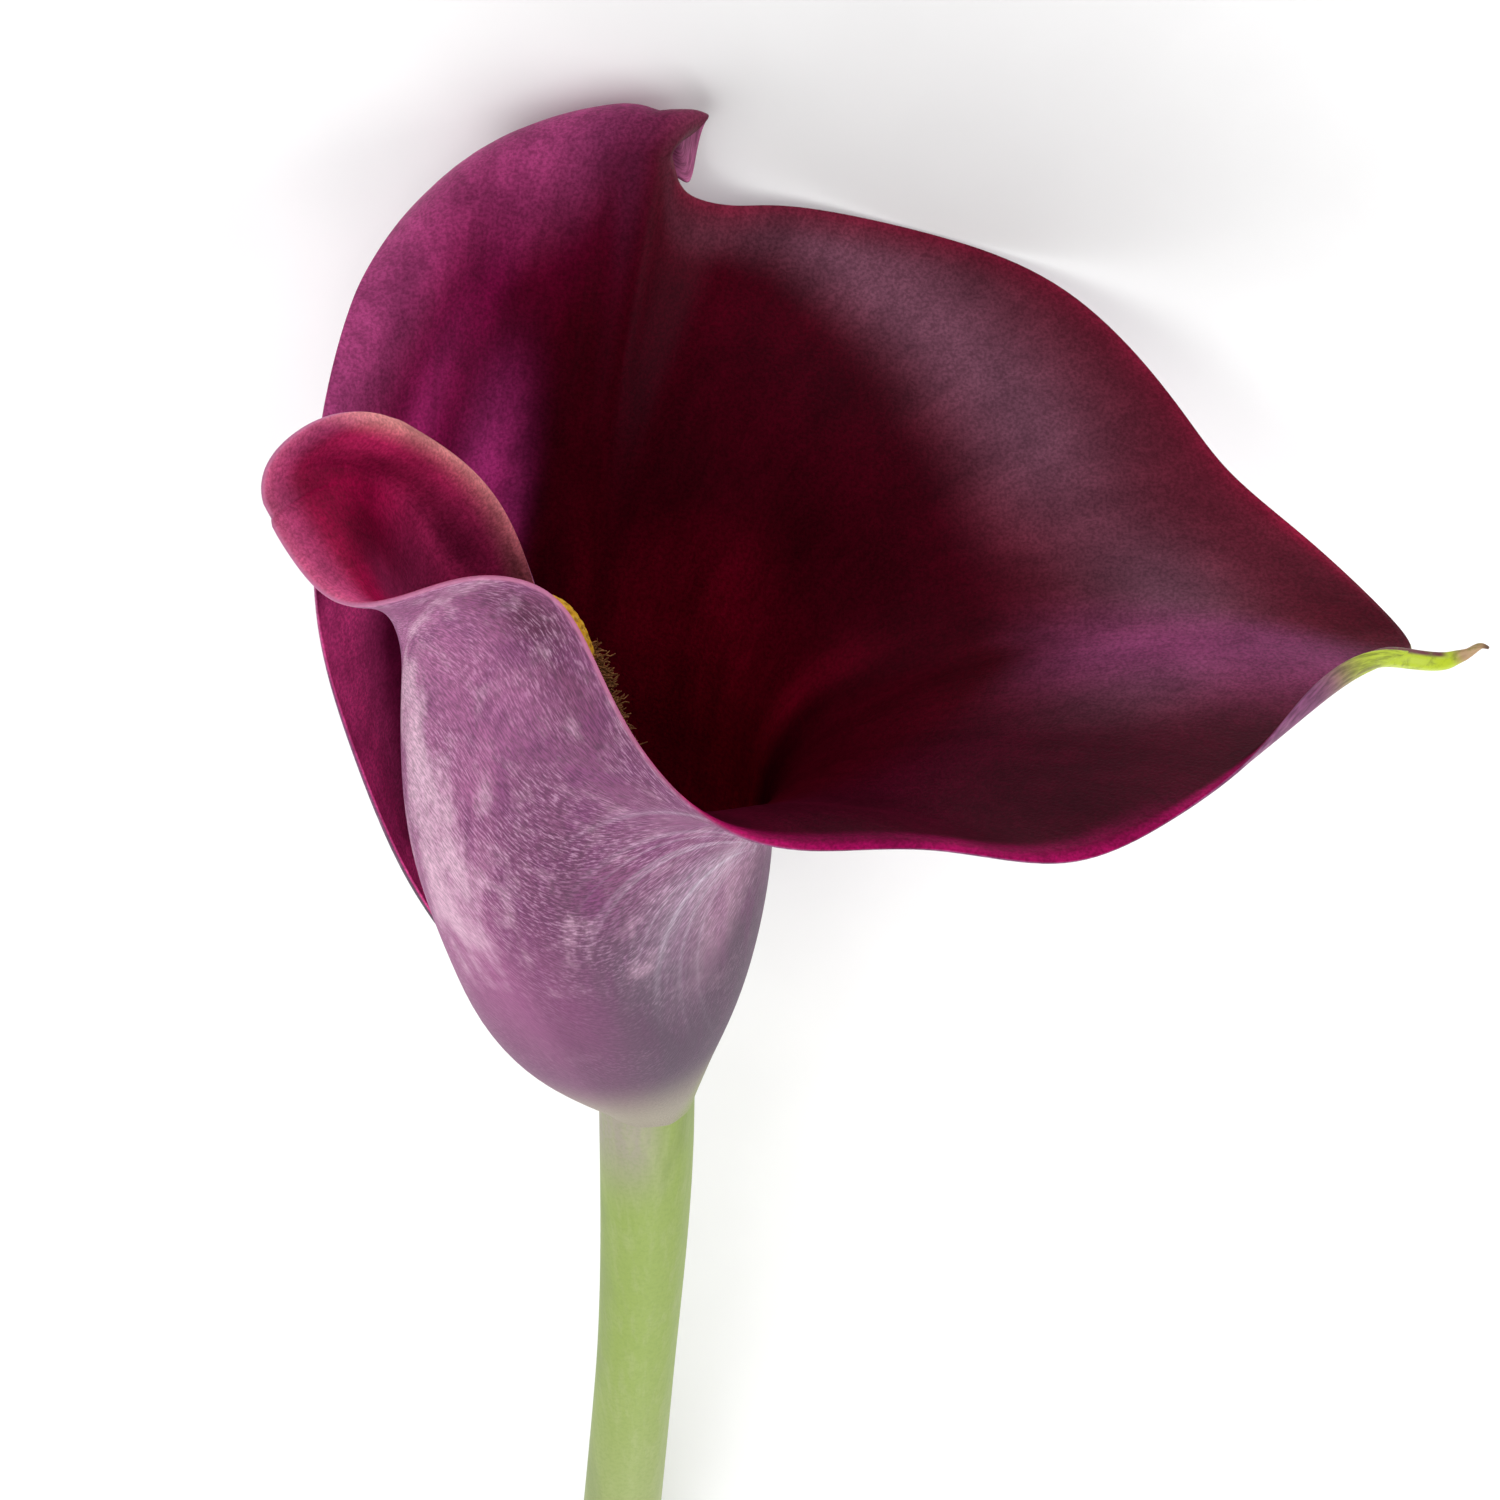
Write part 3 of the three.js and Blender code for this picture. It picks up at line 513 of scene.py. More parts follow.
# Kept at each point for the materials: the skin's colour, how pale it is (partly painted light), how
# mottled and beaded it is, how light the rim's edge is, and the fan of streaks.
skin = np.concatenate([outer_colour().reshape(-1, 3), inner_colour()[1:-1, 1:-1].reshape(-1, 3)])
store(spathe, "skin", np.clip(skin, 0, 1))
store(spathe, "pale", both(pale_and_lit_band()))
store(spathe, "mottle", mottling())
store(spathe, "beads", both(0.3 + 0.7 * ease(20, 42, outer[..., 1])))
store(spathe, "edge", both(bump(left, 0, 0.22) * ease(-70, -130, turn)))
for name, values in zip(("fan_angle", "fan_streaks", "fan_patch"), fan(sheet_points)):
    store(spathe, name, values)
map_sheet()
material_numbers = np.repeat([0, 1], (rows - 1) * (columns - 1))
spathe.data.polygons.foreach_set("material_index", material_numbers.astype(np.int32))


def add(tree, kind, inputs=(), **settings):
    """Adds a node. Inputs are (name or number, value) pairs, a value being a constant or the output
    of another node; settings are the node's own options."""
    made = tree.nodes.new(kind)
    for name, value in settings.items():
        setattr(made, name, value)
    for name, value in inputs:
        if isinstance(value, bpy.types.NodeSocket):
            tree.links.new(value, made.inputs[name])
        else:
            made.inputs[name].default_value = value
    return made


def new_material(name):
    """An empty node material and its tree."""
    material = bpy.data.materials.new(name)
    material.use_nodes = True
    material.node_tree.nodes.clear()
    return material, material.node_tree


def place_on_piece(tree):
    """Where a point lies, in metres."""
    return add(tree, "ShaderNodeTexCoord").outputs["Object"]


def place_on_sheet(tree):
    """Where a point lies on the map over the sheet, in mm."""
    return add(tree, "ShaderNodeUVMap", uv_map="sheet").outputs["UV"]


def noise(tree, vector, scale, detail=2.0, roughness=0.5):
    """Soft noise, from 0 to 1, with blotches about 1 / scale across."""
    return add(tree, "ShaderNodeTexNoise", [("Vector", vector), ("Scale", scale), ("Detail", detail),
                                            ("Roughness", roughness)]).outputs["Fac"]


def stretched(tree, vector, by):
    """A map scaled by three factors."""
    return add(tree, "ShaderNodeVectorMath", [(0, vector), (1, by)], operation="MULTIPLY").outputs[0]


def ramp(tree, value, low, high, low_out=0.0, high_out=1.0):
    """A value read from low to high, given out from low_out to high_out."""
    return add(tree, "ShaderNodeMapRange", [("Value", value), ("From Min", low), ("From Max", high),
                                            ("To Min", low_out), ("To Max", high_out)],
               interpolation_type="SMOOTHSTEP").outputs["Result"]


def times(tree, a, b):
    """Two values multiplied."""
    return add(tree, "ShaderNodeMath", [(0, a), (1, b)], operation="MULTIPLY").outputs[0]


def plus(tree, a, b):
    """Two values added."""
    return add(tree, "ShaderNodeMath", [(0, a), (1, b)], operation="ADD").outputs[0]


def mixed(tree, amount, under, on_top, blend="MIX"):
    """One colour mixed over another by an amount."""
    return add(tree, "ShaderNodeMix", [(0, amount), (6, under), (7, on_top)], data_type="RGBA",
               blend_type=blend).outputs[2]


def tinted(tree, colour, amount, tint):
    """A colour with a tint laid over it by an amount."""
    return mixed(tree, amount, colour, (*tint, 1))


def lightened(tree, colour, amount):
    """A colour multiplied by one value, over 1 to lighten and under 1 to darken."""
    grey = add(tree, "ShaderNodeCombineColor", [(0, amount), (1, amount), (2, amount)]).outputs[0]
    return mixed(tree, 1.0, colour, grey, "MULTIPLY")


def specks(tree, vector, scale, edge, chosen):
    """Round dots, one in some of the cells of a pattern. A dot ends over the distances in edge, and
    a cell has one where its random number is past those in chosen."""
    cells = add(tree, "ShaderNodeTexVoronoi", [("Vector", vector), ("Scale", scale)])
    number = add(tree, "ShaderNodeSeparateColor", [(0, cells.outputs["Color"])]).outputs[0]
    return times(tree, ramp(tree, cells.outputs["Distance"], *edge), ramp(tree, number, *chosen))


def relief(tree, height, strength, depth, *under):
    """Small bumps from a pattern, over others where they are given. The depth is in metres."""
    inputs = [("Strength", strength), ("Distance", depth), ("Height", height)]
    inputs += [("Normal", normal) for normal in under]
    return add(tree, "ShaderNodeBump", inputs).outputs[0]


def attribute(tree, name, output="Fac"):
    """What is kept at the piece's points under a name."""
    return add(tree, "ShaderNodeAttribute", attribute_name=name).outputs[output]


def finish_material(tree, **settings):
    """The skin's shader, with its inputs, and the output."""
    skin = add(tree, "ShaderNodeBsdfPrincipled",
               [(name.replace("_", " "), value) for name, value in settings.items()])
    tree.links.new(skin.outputs[0], add(tree, "ShaderNodeOutputMaterial").inputs["Surface"])


def outer_material():
    """The leaf's outer skin: mottled in purple and pale lilac, paler in the long band that is partly
    painted light, with a grain of fine papillae drawn out round the tube whose pale beads are partly
    painted glints, and pale streaks fanning from the pinch."""
    material, tree = new_material("spathe_outside")
    place = place_on_piece(tree)
    on_sheet = place_on_sheet(tree)
    mottle = attribute(tree, "mottle")
    blotches = noise(tree, place, 300.0, 5.0, 0.6)
    drawn_out = noise(tree, stretched(tree, on_sheet, (0.5, 0.14, 1.0)), 1.0, 4.0, 0.6)
    purple_marks = times(tree, mottle, ramp(tree, drawn_out, 0.42, 0.66, 0.0, 0.55))
    pale_marks = times(tree, mottle, ramp(tree, blotches, 0.48, 0.28, 0.0, 0.24))
    colour = tinted(tree, attribute(tree, "skin", "Color"), purple_marks, MOTTLE_PURPLE)
    colour = tinted(tree, colour, pale_marks, PALE_LILAC)

    long_marks = noise(tree, stretched(tree, on_sheet, (0.4, 0.1, 1.0)), 1.0, 4.0, 0.55)
    # the pale band, partly painted light, broken up by long pale marks and blotches
    pale = plus(tree, attribute(tree, "pale"), ramp(tree, long_marks, 0.25, 0.75, -0.4, 0.4))
    pale = plus(tree, pale, ramp(tree, blotches, 0.25, 0.75, 0.2, -0.2))
    colour = tinted(tree, colour, ramp(tree, pale, 0.1, 1.15, 0.0, 0.95), PALE_LILAC)

    fan_angle = add(tree, "ShaderNodeCombineXYZ", [("X", attribute(tree, "fan_angle"))]).outputs[0]
    fan_lines = ramp(tree, noise(tree, fan_angle, 8.0, 3.0, 0.65), 0.46, 0.68, 0.0, 0.5)
    streaks = times(tree, attribute(tree, "fan_streaks"), fan_lines)
    streaks = plus(tree, streaks, times(tree, attribute(tree, "fan_patch"), 0.35))
    colour = tinted(tree, colour, streaks, STREAK_PALE)

    grain = noise(tree, stretched(tree, on_sheet, (1.5, 3.4, 1.0)), 1.0, 3.0, 0.65)
    beaded = lightened(tree, colour, ramp(tree, grain, 0.34, 0.66, 0.6, 1.26))
    colour = mixed(tree, attribute(tree, "beads"), colour, beaded)
    clumps = times(tree, mottle, ramp(tree, noise(tree, place, 140.0), 0.3, 0.6))
    # pale beads on the grain, partly painted glints on the papillae
    pale_bead_glints = times(tree, clumps, ramp(tree, grain, 0.5, 0.66, 0.0, 0.38))
    colour = tinted(tree, colour, pale_bead_glints, BEAD_PALE_GLINT)
    colour = tinted(tree, colour, specks(tree, place, 55.0, (0.010, 0.006), (0.6, 0.65)), SPECK_TAN)
    colour = tinted(tree, colour, times(tree, attribute(tree, "edge"), 0.8), RIM_PINK)
    finish_material(tree, Base_Color=colour, Roughness=0.55, Specular_IOR_Level=0.2,
                    Normal=relief(tree, grain, 0.5, 0.00012))
    return material


def inner_material():
    """The leaf's inner skin: velvety and dark, softly blotched, with fine veins running from the
    throat to the rim, a satin sheen of broader streaks, a dense grain of papillae and a few pale
    specks."""
    material, tree = new_material("spathe_inside")
    place = place_on_piece(tree)
    on_sheet = place_on_sheet(tree)
    colour = attribute(tree, "skin", "Color")
    blotches = noise(tree, place, 190.0, 5.0, 0.65)
    blotched = lightened(tree, colour, ramp(tree, blotches, 0.3, 0.7, 0.5, 1.6))
    colour = mixed(tree, attribute(tree, "mottle"), colour, blotched)
    veins = noise(tree, stretched(tree, on_sheet, (2.4, 0.12, 1.0)), 1.0, 3.0, 0.6)
    satin = noise(tree, stretched(tree, on_sheet, (0.3, 0.07, 1.0)), 1.0, 4.0, 0.6)
    grain = noise(tree, place, 3200.0, 2.0, 0.6)
    for pattern, darkest, lightest in ((veins, 0.93, 1.07), (satin, 0.8, 1.2), (grain, 0.76, 1.27)):
        colour = lightened(tree, colour, ramp(tree, pattern, 0.3, 0.7, darkest, lightest))
    colour = tinted(tree, colour, specks(tree, place, 75.0, (0.012, 0.007), (0.62, 0.66)), SPECK_PALE)
    colour = tinted(tree, colour, times(tree, attribute(tree, "edge"), 0.7), RIM_PINK)
    ridges = relief(tree, veins, 0.12, 0.0004, relief(tree, grain, 0.35, 0.0001))
    finish_material(tree, Base_Color=colour, Roughness=0.42, Normal=ridges, Specular_IOR_Level=0.035,
                    Specular_Tint=(*VELVET_SHEEN, 1))
    return material


spathe.data.materials.append(outer_material())
spathe.data.materials.append(inner_material())
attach(spathe, "root")
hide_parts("spathe")


# ---- tail ----------------------------------------------
# The spathe's own tip: its folded end runs out into a fleshy green horn, which has dried to a thin
# brown curl at the very end. It belongs to the sheet and is rooted in its fold.

TAIL_POINTS = np.array([  # picture column, row, side, half width, half height
    [1334, 687, 8.5, 0.1, 0.12],
    [1347, 676, 7.2, 0.4, 0.4],
    [1361, 666, 5.4, 0.6, 0.68],
    [1376, 659, 3.4, 0.75, 0.84],
    [1392, 657, 1.8, 0.8, 0.9],
    [1410, 659, 0.8, 0.8, 0.9],
    [1428, 661, 0.2, 0.75, 0.86],
    [1445, 661, 0, 0.65, 0.8],
    [1458, 657, 0, 0.5, 0.6],
    [1470, 651, 0.2, 0.38, 0.4],
    [1481, 646, 0.5, 0.28, 0.26],
    [1489, 648, 0.8, 0.2, 0.12],
])
TAIL_STEPS = 150
TAIL_AROUND = 40
TAIL_ROOT = shade(120, 90, 80)
TAIL_MOSS = shade(128, 128, 46)
TAIL_LIME = shade(174, 192, 34)
TAIL_CRIMSON = shade(92, 14, 34)
TAIL_FLECKS = shade(104, 112, 24)
DRIED_TAN = shade(166, 134, 96)
DRIED_BROWN = shade(96, 66, 50)


def turns_round(count):
    """So many turns spread evenly round a circle, from 0 on."""
    return np.linspace(0, 2 * np.pi, count, endpoint=False)


def tube_faces(rings, around):
    """The faces of a tube with so many rings of so many points, closed at each end by one more
    point: the four-cornered ones of its wall, and the three-cornered ones of its ends."""
    numbers = np.arange(rings * around).reshape(rings, around)
    numbers = np.concatenate([numbers, numbers[:, :1]], 1)
    foot = np.full(around, rings * around)
    foot_end = np.stack([numbers[0, 1:], numbers[0, :-1], foot], -1)
    top_end = np.stack([numbers[-1, :-1], numbers[-1, 1:], foot + 1], -1)
    return quads(numbers), np.concatenate([foot_end, top_end])


def tube_along(way, half_width, half_height):
    """Rings along a way, which is a line and the directions across it and upwards: at a turn a, half
    width * cos a across and half height * sin a upwards. Both ends are closed by one point."""
    line, across, upwards = way
    turns = turns_round(half_width.shape[1])
    rings = (line[:, None] + (half_width * np.cos(turns))[..., None] * across[:, None]
             + (half_height * np.sin(turns))[..., None] * upwards[:, None])
    points = np.concatenate([rings.reshape(-1, 3), line[:1], line[-1:]])
    wall, ends = tube_faces(*half_width.shape)
    return points, wall.tolist() + ends.tolist()


def tail_shape():
    """An oval tube along the tail's points. Its size swells and shrinks by 0.04 sin(6 turn) all
    along, and by 0.22 sin(3 turn + 2.2 step) more where it has dried in shallow folds. Returns its
    way, half width and half height, and the steps along its points."""
    steps = np.linspace(0, len(TAIL_POINTS) - 1, TAIL_STEPS)
    stations = TAIL_POINTS.copy()
    stations[:, :3] = seen_at(*stations.T[:3])
    values = spline(stations, steps)
    line = values[:, :3]
    tangent = unit(np.gradient(line, axis=0))
    view_up = np.array([0, np.cos(VIEW_TILT), -np.sin(VIEW_TILT)])
    upwards = unit(view_up - (tangent @ view_up)[:, None] * tangent)
    way = line, np.cross(tangent, upwards), upwards
    turns = turns_round(TAIL_AROUND)
    dried = ease(7, 9, steps)[:, None]
    folds = 1 + 0.22 * dried * np.sin(3 * turns + 2.2 * steps[:, None]) + 0.04 * np.sin(6 * turns)
    return way, values[:, 3:4] * folds, values[:, 4:5] * folds, steps


def tail_colour(steps):
    """Mossy at the root and lime green along the horn, with a crimson line on top, then the tan and
    brown of the dried end."""
    along = np.concatenate([np.repeat(steps, TAIL_AROUND), [0, steps[-1]]])
    top = np.concatenate([np.tile(np.sin(turns_round(TAIL_AROUND)), TAIL_STEPS), [0, 0]])
    return painted(TAIL_ROOT, [
        (TAIL_MOSS, ease(0.4, 2, along)),
        (TAIL_LIME, ease(2.2, 3.6, along)),
        (TAIL_CRIMSON, ease(0.3, 0.7, top) * ease(1, 2.4, along) * ease(7.6, 6.6, along)),
        (DRIED_TAN, ease(7.4, 8.6, along)),
        (DRIED_BROWN, ease(10, 10.8, along)),
    ])


def tail_material():
    """Waxy green skin with darker flecks, the colours kept at its points telling green from dried
    brown."""
    material, tree = new_material("tail_skin")
    flecks = noise(tree, place_on_piece(tree), 1100.0, 4.0, 0.65)
    colour = attribute(tree, "skin", "Color")
    colour = tinted(tree, colour, ramp(tree, flecks, 0.48, 0.7, 0.0, 0.6), TAIL_FLECKS)
    finish_material(tree, Base_Color=colour, Roughness=0.45, Specular_IOR_Level=0.4,
                    Normal=relief(tree, flecks, 0.4, 0.0002))
    return material


tail_way, tail_half_width, tail_half_height, tail_steps = tail_shape()
tail_points, tail_faces = tube_along(tail_way, tail_half_width, tail_half_height)
tail = blank("spathe_tail", laid(tail_points), tail_faces)
store(tail, "skin", tail_colour(tail_steps))
tail.data.materials.append(tail_material())
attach(tail, "root")
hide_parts("spathe")


# ---- spadix --------------------------------------------
# The finger inside the funnel, grown on the top of the stem. It is packed all over with tiny
# florets that shed yellow pollen.

SPADIX_FOOT = np.array([NECK_X - 0.4, 4.6, 0])
SPADIX_BEND = np.array([-11.8, 34, 0])
SPADIX_TIP = np.array([-19.6, 62.2, 3])
SPADIX_RADIUS = 3.5
SPADIX_FOOT_RADIUS = 2.7
SPADIX_WIDENS_BY = 0.25             # share of its length
SPADIX_ROUNDS_FROM = 0.9
SPADIX_STEPS = 400
SPADIX_AROUND = 180
FLORETS_AROUND = 15
FLORET_ROWS = 52
FLORET_RELIEF = 0.22
FLORET_GAP = shade(140, 90, 20)
FLORET_OCHRE = shade(190, 138, 20)
POLLEN_YELLOW = shade(206, 168, 70)


def way_along(line, tangent):
    """A line, the level direction across it, and the direction square to both."""
    across = unit(np.cross(np.array([0, 0, 1]), tangent))
    return line, across, np.cross(tangent, across)


def spadix_shape():
    """A bent finger with a rounded tip. The florets are domes on a lattice: two cosines multiplied,
    with every second row turned by half a floret, and a dimple in the middle of each. Returns its
    way, its radius, and how high each point stands on its floret."""
    t = np.linspace(0, 1, SPADIX_STEPS)[:, None]
    t = 1 - (1 - t) ** 1.25
    line = (1 - t) ** 2 * SPADIX_FOOT + 2 * t * (1 - t) * SPADIX_BEND + t ** 2 * SPADIX_TIP
    turns = turns_round(SPADIX_AROUND)
    body = SPADIX_FOOT_RADIUS + (SPADIX_RADIUS - SPADIX_FOOT_RADIUS) * ease(0, SPADIX_WIDENS_BY, t)
    rounded = np.clip((t - SPADIX_ROUNDS_FROM) / (1 - SPADIX_ROUNDS_FROM), 0, 1)
    tip = np.sqrt(1 - (0.999 * rounded) ** 2)
    lattice = np.cos(FLORETS_AROUND * turns + np.pi * FLORET_ROWS * t) * np.cos(np.pi * FLORET_ROWS * t)
    dome = np.sqrt(np.clip(0.5 + 0.5 * lattice, 0, 1))
    dimple = ease(0.9, 1.0, dome)
    radius = (body + FLORET_RELIEF * (dome - 0.5 * dimple) * ease(0, 0.04, t)) * tip
    return way_along(line, unit(np.gradient(line, axis=0))), radius, dome


def spadix_material():
    """Ochre florets, darker between them, under a dust of yellow pollen."""
    material, tree = new_material("florets")
    dust = noise(tree, place_on_piece(tree), 2400.0, 3.0, 0.7)
    colour = mixed(tree, ramp(tree, attribute(tree, "dome"), 0.2, 0.8), (*FLORET_GAP, 1), (*FLORET_OCHRE, 1))
    colour = tinted(tree, colour, ramp(tree, dust, 0.5, 0.62, 0.0, 0.7), POLLEN_YELLOW)
    finish_material(tree, Base_Color=colour, Roughness=0.85, Specular_IOR_Level=0.2,
                    Normal=relief(tree, dust, 0.6, 0.00015))
    return material


spadix_way, spadix_radius, floret_domes = spadix_shape()
spadix_points, spadix_faces = tube_along(spadix_way, spadix_radius, spadix_radius)
spadix = blank("spadix_florets", laid(spadix_points), spadix_faces)
store(spadix, "dome", np.concatenate([floret_domes.ravel(), [0, 1]]))
spadix.data.materials.append(spadix_material())
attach(spadix, "root")
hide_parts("spadix")


# ---- pollen --------------------------------------------
# Sticky pollen that the florets have pushed out in short threads. It clings to the side of the
# spadix that faces the limb, in a dull brown fuzz.

THREADS = 700
THREAD_SEED = 11
THREAD_STEPS = 5
THREAD_AROUND = 4
THREAD_RADIUS = 0.1
THREAD_TAPER = np.array([1, 1, 0.9, 0.8, 0.6])      # share of that radius at each step
THREAD_LENGTHS = (0.3, 1.2)
THREAD_ROOTS = (0.58, 0.8)          # along the spadix, in shares of its steps
THREAD_ROOT_REACH = 0.97            # and at this share of its radius
THREAD_SIDE = np.pi - 0.35          # the turn round it where they are thickest
THREAD_SPREAD = 0.5
THREAD_WANDER = 0.38
THREAD_DARK = shade(88, 50, 28)
THREAD_LIGHT = shade(134, 90, 54)


def pollen_shape(way, radius):
    """Thin tubes rooted in the spadix's side, each leaving it outwards and wandering at random by
    about a sixth of its length from step to step. A point closes each end."""
    line, across, upwards = way
    chance = np.random.default_rng(THREAD_SEED)
    lowest, highest = int(THREAD_ROOTS[0] * SPADIX_STEPS), int(THREAD_ROOTS[1] * SPADIX_STEPS)
    ring = chance.integers(lowest, highest, THREADS)
    angle = THREAD_SIDE + chance.normal(0, THREAD_SPREAD, THREADS)
    outwards = np.cos(angle)[:, None] * across[ring] + np.sin(angle)[:, None] * upwards[ring]
    root = line[ring] + THREAD_ROOT_REACH * radius[ring].mean(1)[:, None] * outwards
    length = chance.uniform(*THREAD_LENGTHS, THREADS)[:, None, None]
    wander = chance.normal(0, THREAD_WANDER, (THREADS, THREAD_STEPS, 3)).cumsum(1) / THREAD_STEPS ** 0.5
    wander -= wander[:, :1]
    walk = np.linspace(0, 1, THREAD_STEPS)[None, :, None] * outwards[:, None] + wander
    middle = root[:, None] + length * walk
    sideways = unit(np.cross(outwards, chance.normal(0, 1, (THREADS, 3))))
    turns = turns_round(THREAD_AROUND)
    ring_shape = (np.cos(turns)[None, :, None] * sideways[:, None]
                  + np.sin(turns)[None, :, None] * np.cross(outwards, sideways)[:, None])
    thick = THREAD_RADIUS * THREAD_TAPER[None, :, None, None]
    tubes = middle[:, :, None] + thick * ring_shape[:, None]
    points = np.concatenate([tubes.reshape(THREADS, -1, 3), middle[:, :1], middle[:, -1:]], 1)
    wall, ends = tube_faces(THREAD_STEPS, THREAD_AROUND)
    start = (np.arange(THREADS) * points.shape[1])[:, None, None]
    faces = (wall + start).reshape(-1, 4).tolist() + (ends + start).reshape(-1, 3).tolist()
    return points.reshape(-1, 3), faces


def pollen_material():
    """Dull brown, lighter and darker in crumbs."""
    material, tree = new_material("pollen")
    crumbs = noise(tree, place_on_piece(tree), 1500.0, 2.0, 0.6)
    colour = mixed(tree, ramp(tree, crumbs, 0.35, 0.65), (*THREAD_DARK, 1), (*THREAD_LIGHT, 1))
    finish_material(tree, Base_Color=colour, Roughness=0.9, Specular_IOR_Level=0.1)
    return material


pollen_points, pollen_faces = pollen_shape(spadix_way, spadix_radius)
pollen = blank("spadix_pollen", laid(pollen_points), pollen_faces)
pollen.data.materials.append(pollen_material())
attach(pollen, "root")
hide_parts("spadix")


# ---- stem ----------------------------------------------
# A smooth fleshy stalk, round and a little thinner below the flower. It leaves the neck along the
# flower's axis, sinks to the table and ends in a clean cut.

STEM_LENGTH = 120
STEM_TOP = 0.9                      # above the neck
STEM_NECK_RADIUS = 4.55
STEM_WAIST_RADIUS = 3.85
STEM_END_RADIUS = 4.1
STEM_WAIST_AT = 0.35
STEM_SIDEWAYS = -6
STEM_PRESSED = 0.15                 # how far the table flattens its end
STEM_LEAVES_BY = 42
STEM_LANDS_BY = 45
STEM_STEPS = 260
STEM_AROUND = 96
CUT_RINGS = 14
CUT_DEPTH = 0.35
CUT_BEVEL = 0.03                    # the cut's rings are smaller by this share of the radius
STEM_GREEN = shade(136, 155, 76)
STEM_PALE = shade(148, 158, 104)
CUT_PALE = shade(180, 190, 136)
STRIPE_PALE = shade(160, 168, 116)
SMUDGE_GREY = shade(110, 122, 78)
GRAIN_GREEN = shade(104, 130, 52)
PITH_GREEN = shade(122, 136, 76)


def stem_shape():
    """A round stalk along a Bezier curve on the table, in millimetres of the row frame. Its radius
    eases from neck to waist to end, times 1 + 0.012 cos(2 turn + 1) for a slight oval, and 0.006
    cos(9 turn) more for soft ribs. The cut end is a shallow dish, whose depth at a share s of the
    radius is sqrt(1 - s^2) of the whole. Returns its way and its radius."""
    axis = np.array([0, np.cos(LYING_PITCH), np.sin(LYING_PITCH)])
    start = NECK_ON_TABLE + STEM_TOP * axis
    end = NECK_ON_TABLE + np.array([STEM_SIDEWAYS, -STEM_LENGTH, 0])
    end[2] = STEM_END_RADIUS - STEM_PRESSED
    t = np.linspace(0, 1, STEM_STEPS)[:, None]
    line = ((1 - t) ** 3 * start + 3 * t * (1 - t) ** 2 * (start - STEM_LEAVES_BY * axis)
            + 3 * t ** 2 * (1 - t) * (end + np.array([0, STEM_LANDS_BY, 0])) + t ** 3 * end)
    radius = STEM_NECK_RADIUS + (STEM_WAIST_RADIUS - STEM_NECK_RADIUS) * ease(0, STEM_WAIST_AT, t)
    radius = radius + (STEM_END_RADIUS - STEM_WAIST_RADIUS) * ease(STEM_WAIST_AT, 1, t)
    tangent = unit(np.gradient(line, axis=0))
    dish = np.linspace(1, 0.02, CUT_RINGS)[:, None]
    cut = line[-1] + np.array([0, CUT_DEPTH, 0]) * np.sqrt(1 - dish ** 2)
    line = np.concatenate([line, cut])
    radius = np.concatenate([radius, radius[-1] * (dish - CUT_BEVEL)])
    tangent = np.concatenate([tangent, np.repeat(tangent[-1:], CUT_RINGS, 0)])
    turns = turns_round(STEM_AROUND)
    ribs = 1 + 0.006 * np.cos(9 * turns) + 0.012 * np.cos(2 * turns + 1)
    return way_along(line, tangent), radius * ribs


def way_into_cut():
    """How far a point lies into the cut end, from 0 at its edge to 1 in its middle."""
    ring = np.arange(STEM_STEPS + CUT_RINGS)
    inwards = np.repeat(np.clip(ring - STEM_STEPS, 0, None) / CUT_RINGS, STEM_AROUND)
    return np.concatenate([inwards, [0, 1]])


def stem_colour():
    """Green, paler from a quarter of the way down on, beige on the left under the neck, and pale in
    the cut."""
    ring = np.arange(STEM_STEPS + CUT_RINGS)
    down = np.concatenate([np.repeat(np.minimum(ring / (STEM_STEPS - 1), 1), STEM_AROUND), [0, 1]])
    right_side = np.concatenate([np.tile(np.cos(turns_round(STEM_AROUND)), len(ring)), [0, 0]])
    return painted(STEM_GREEN, [
        (STEM_PALE, ease(0.25, 0.6, down)),
        (NECK_BEIGE, ease(0.12, 0.02, down) * ease(0.7, -0.3, right_side)),
        (CUT_PALE, ease(0, 0.2, way_into_cut())),
    ])


def stem_material():
    """Yellow-green skin with long faint stripes, soft grey smudges, and pale pith at the cut."""
    material, tree = new_material("stem_skin")
    place = place_on_piece(tree)
    stripes = noise(tree, stretched(tree, place, (1.0, 0.06, 1.0)), 1100.0, 3.0, 0.6)
    smudges = noise(tree, stretched(tree, place, (1.0, 0.3, 1.0)), 160.0, 3.0, 0.5)
    grain = noise(tree, place, 2500.0, 2.0, 0.6)
    colour = attribute(tree, "skin", "Color")
    colour = tinted(tree, colour, ramp(tree, stripes, 0.45, 0.7, 0.0, 0.3), STRIPE_PALE)
    colour = tinted(tree, colour, ramp(tree, smudges, 0.56, 0.74, 0.0, 0.35), SMUDGE_GREY)
    colour = tinted(tree, colour, ramp(tree, grain, 0.4, 0.7, 0.0, 0.2), GRAIN_GREEN)
    cells = add(tree, "ShaderNodeTexVoronoi", [("Vector", place), ("Scale", 1300.0)])
    pores = times(tree, ramp(tree, attribute(tree, "cut"), 0.05, 0.2),
                  ramp(tree, cells.outputs["Distance"], 0.35, 0.1, 0.0, 0.6))
    colour = tinted(tree, colour, pores, PITH_GREEN)
    finish_material(tree, Base_Color=colour, Roughness=0.5, Specular_IOR_Level=0.35,
                    Normal=relief(tree, stripes, 0.25, 0.0002))
    return material


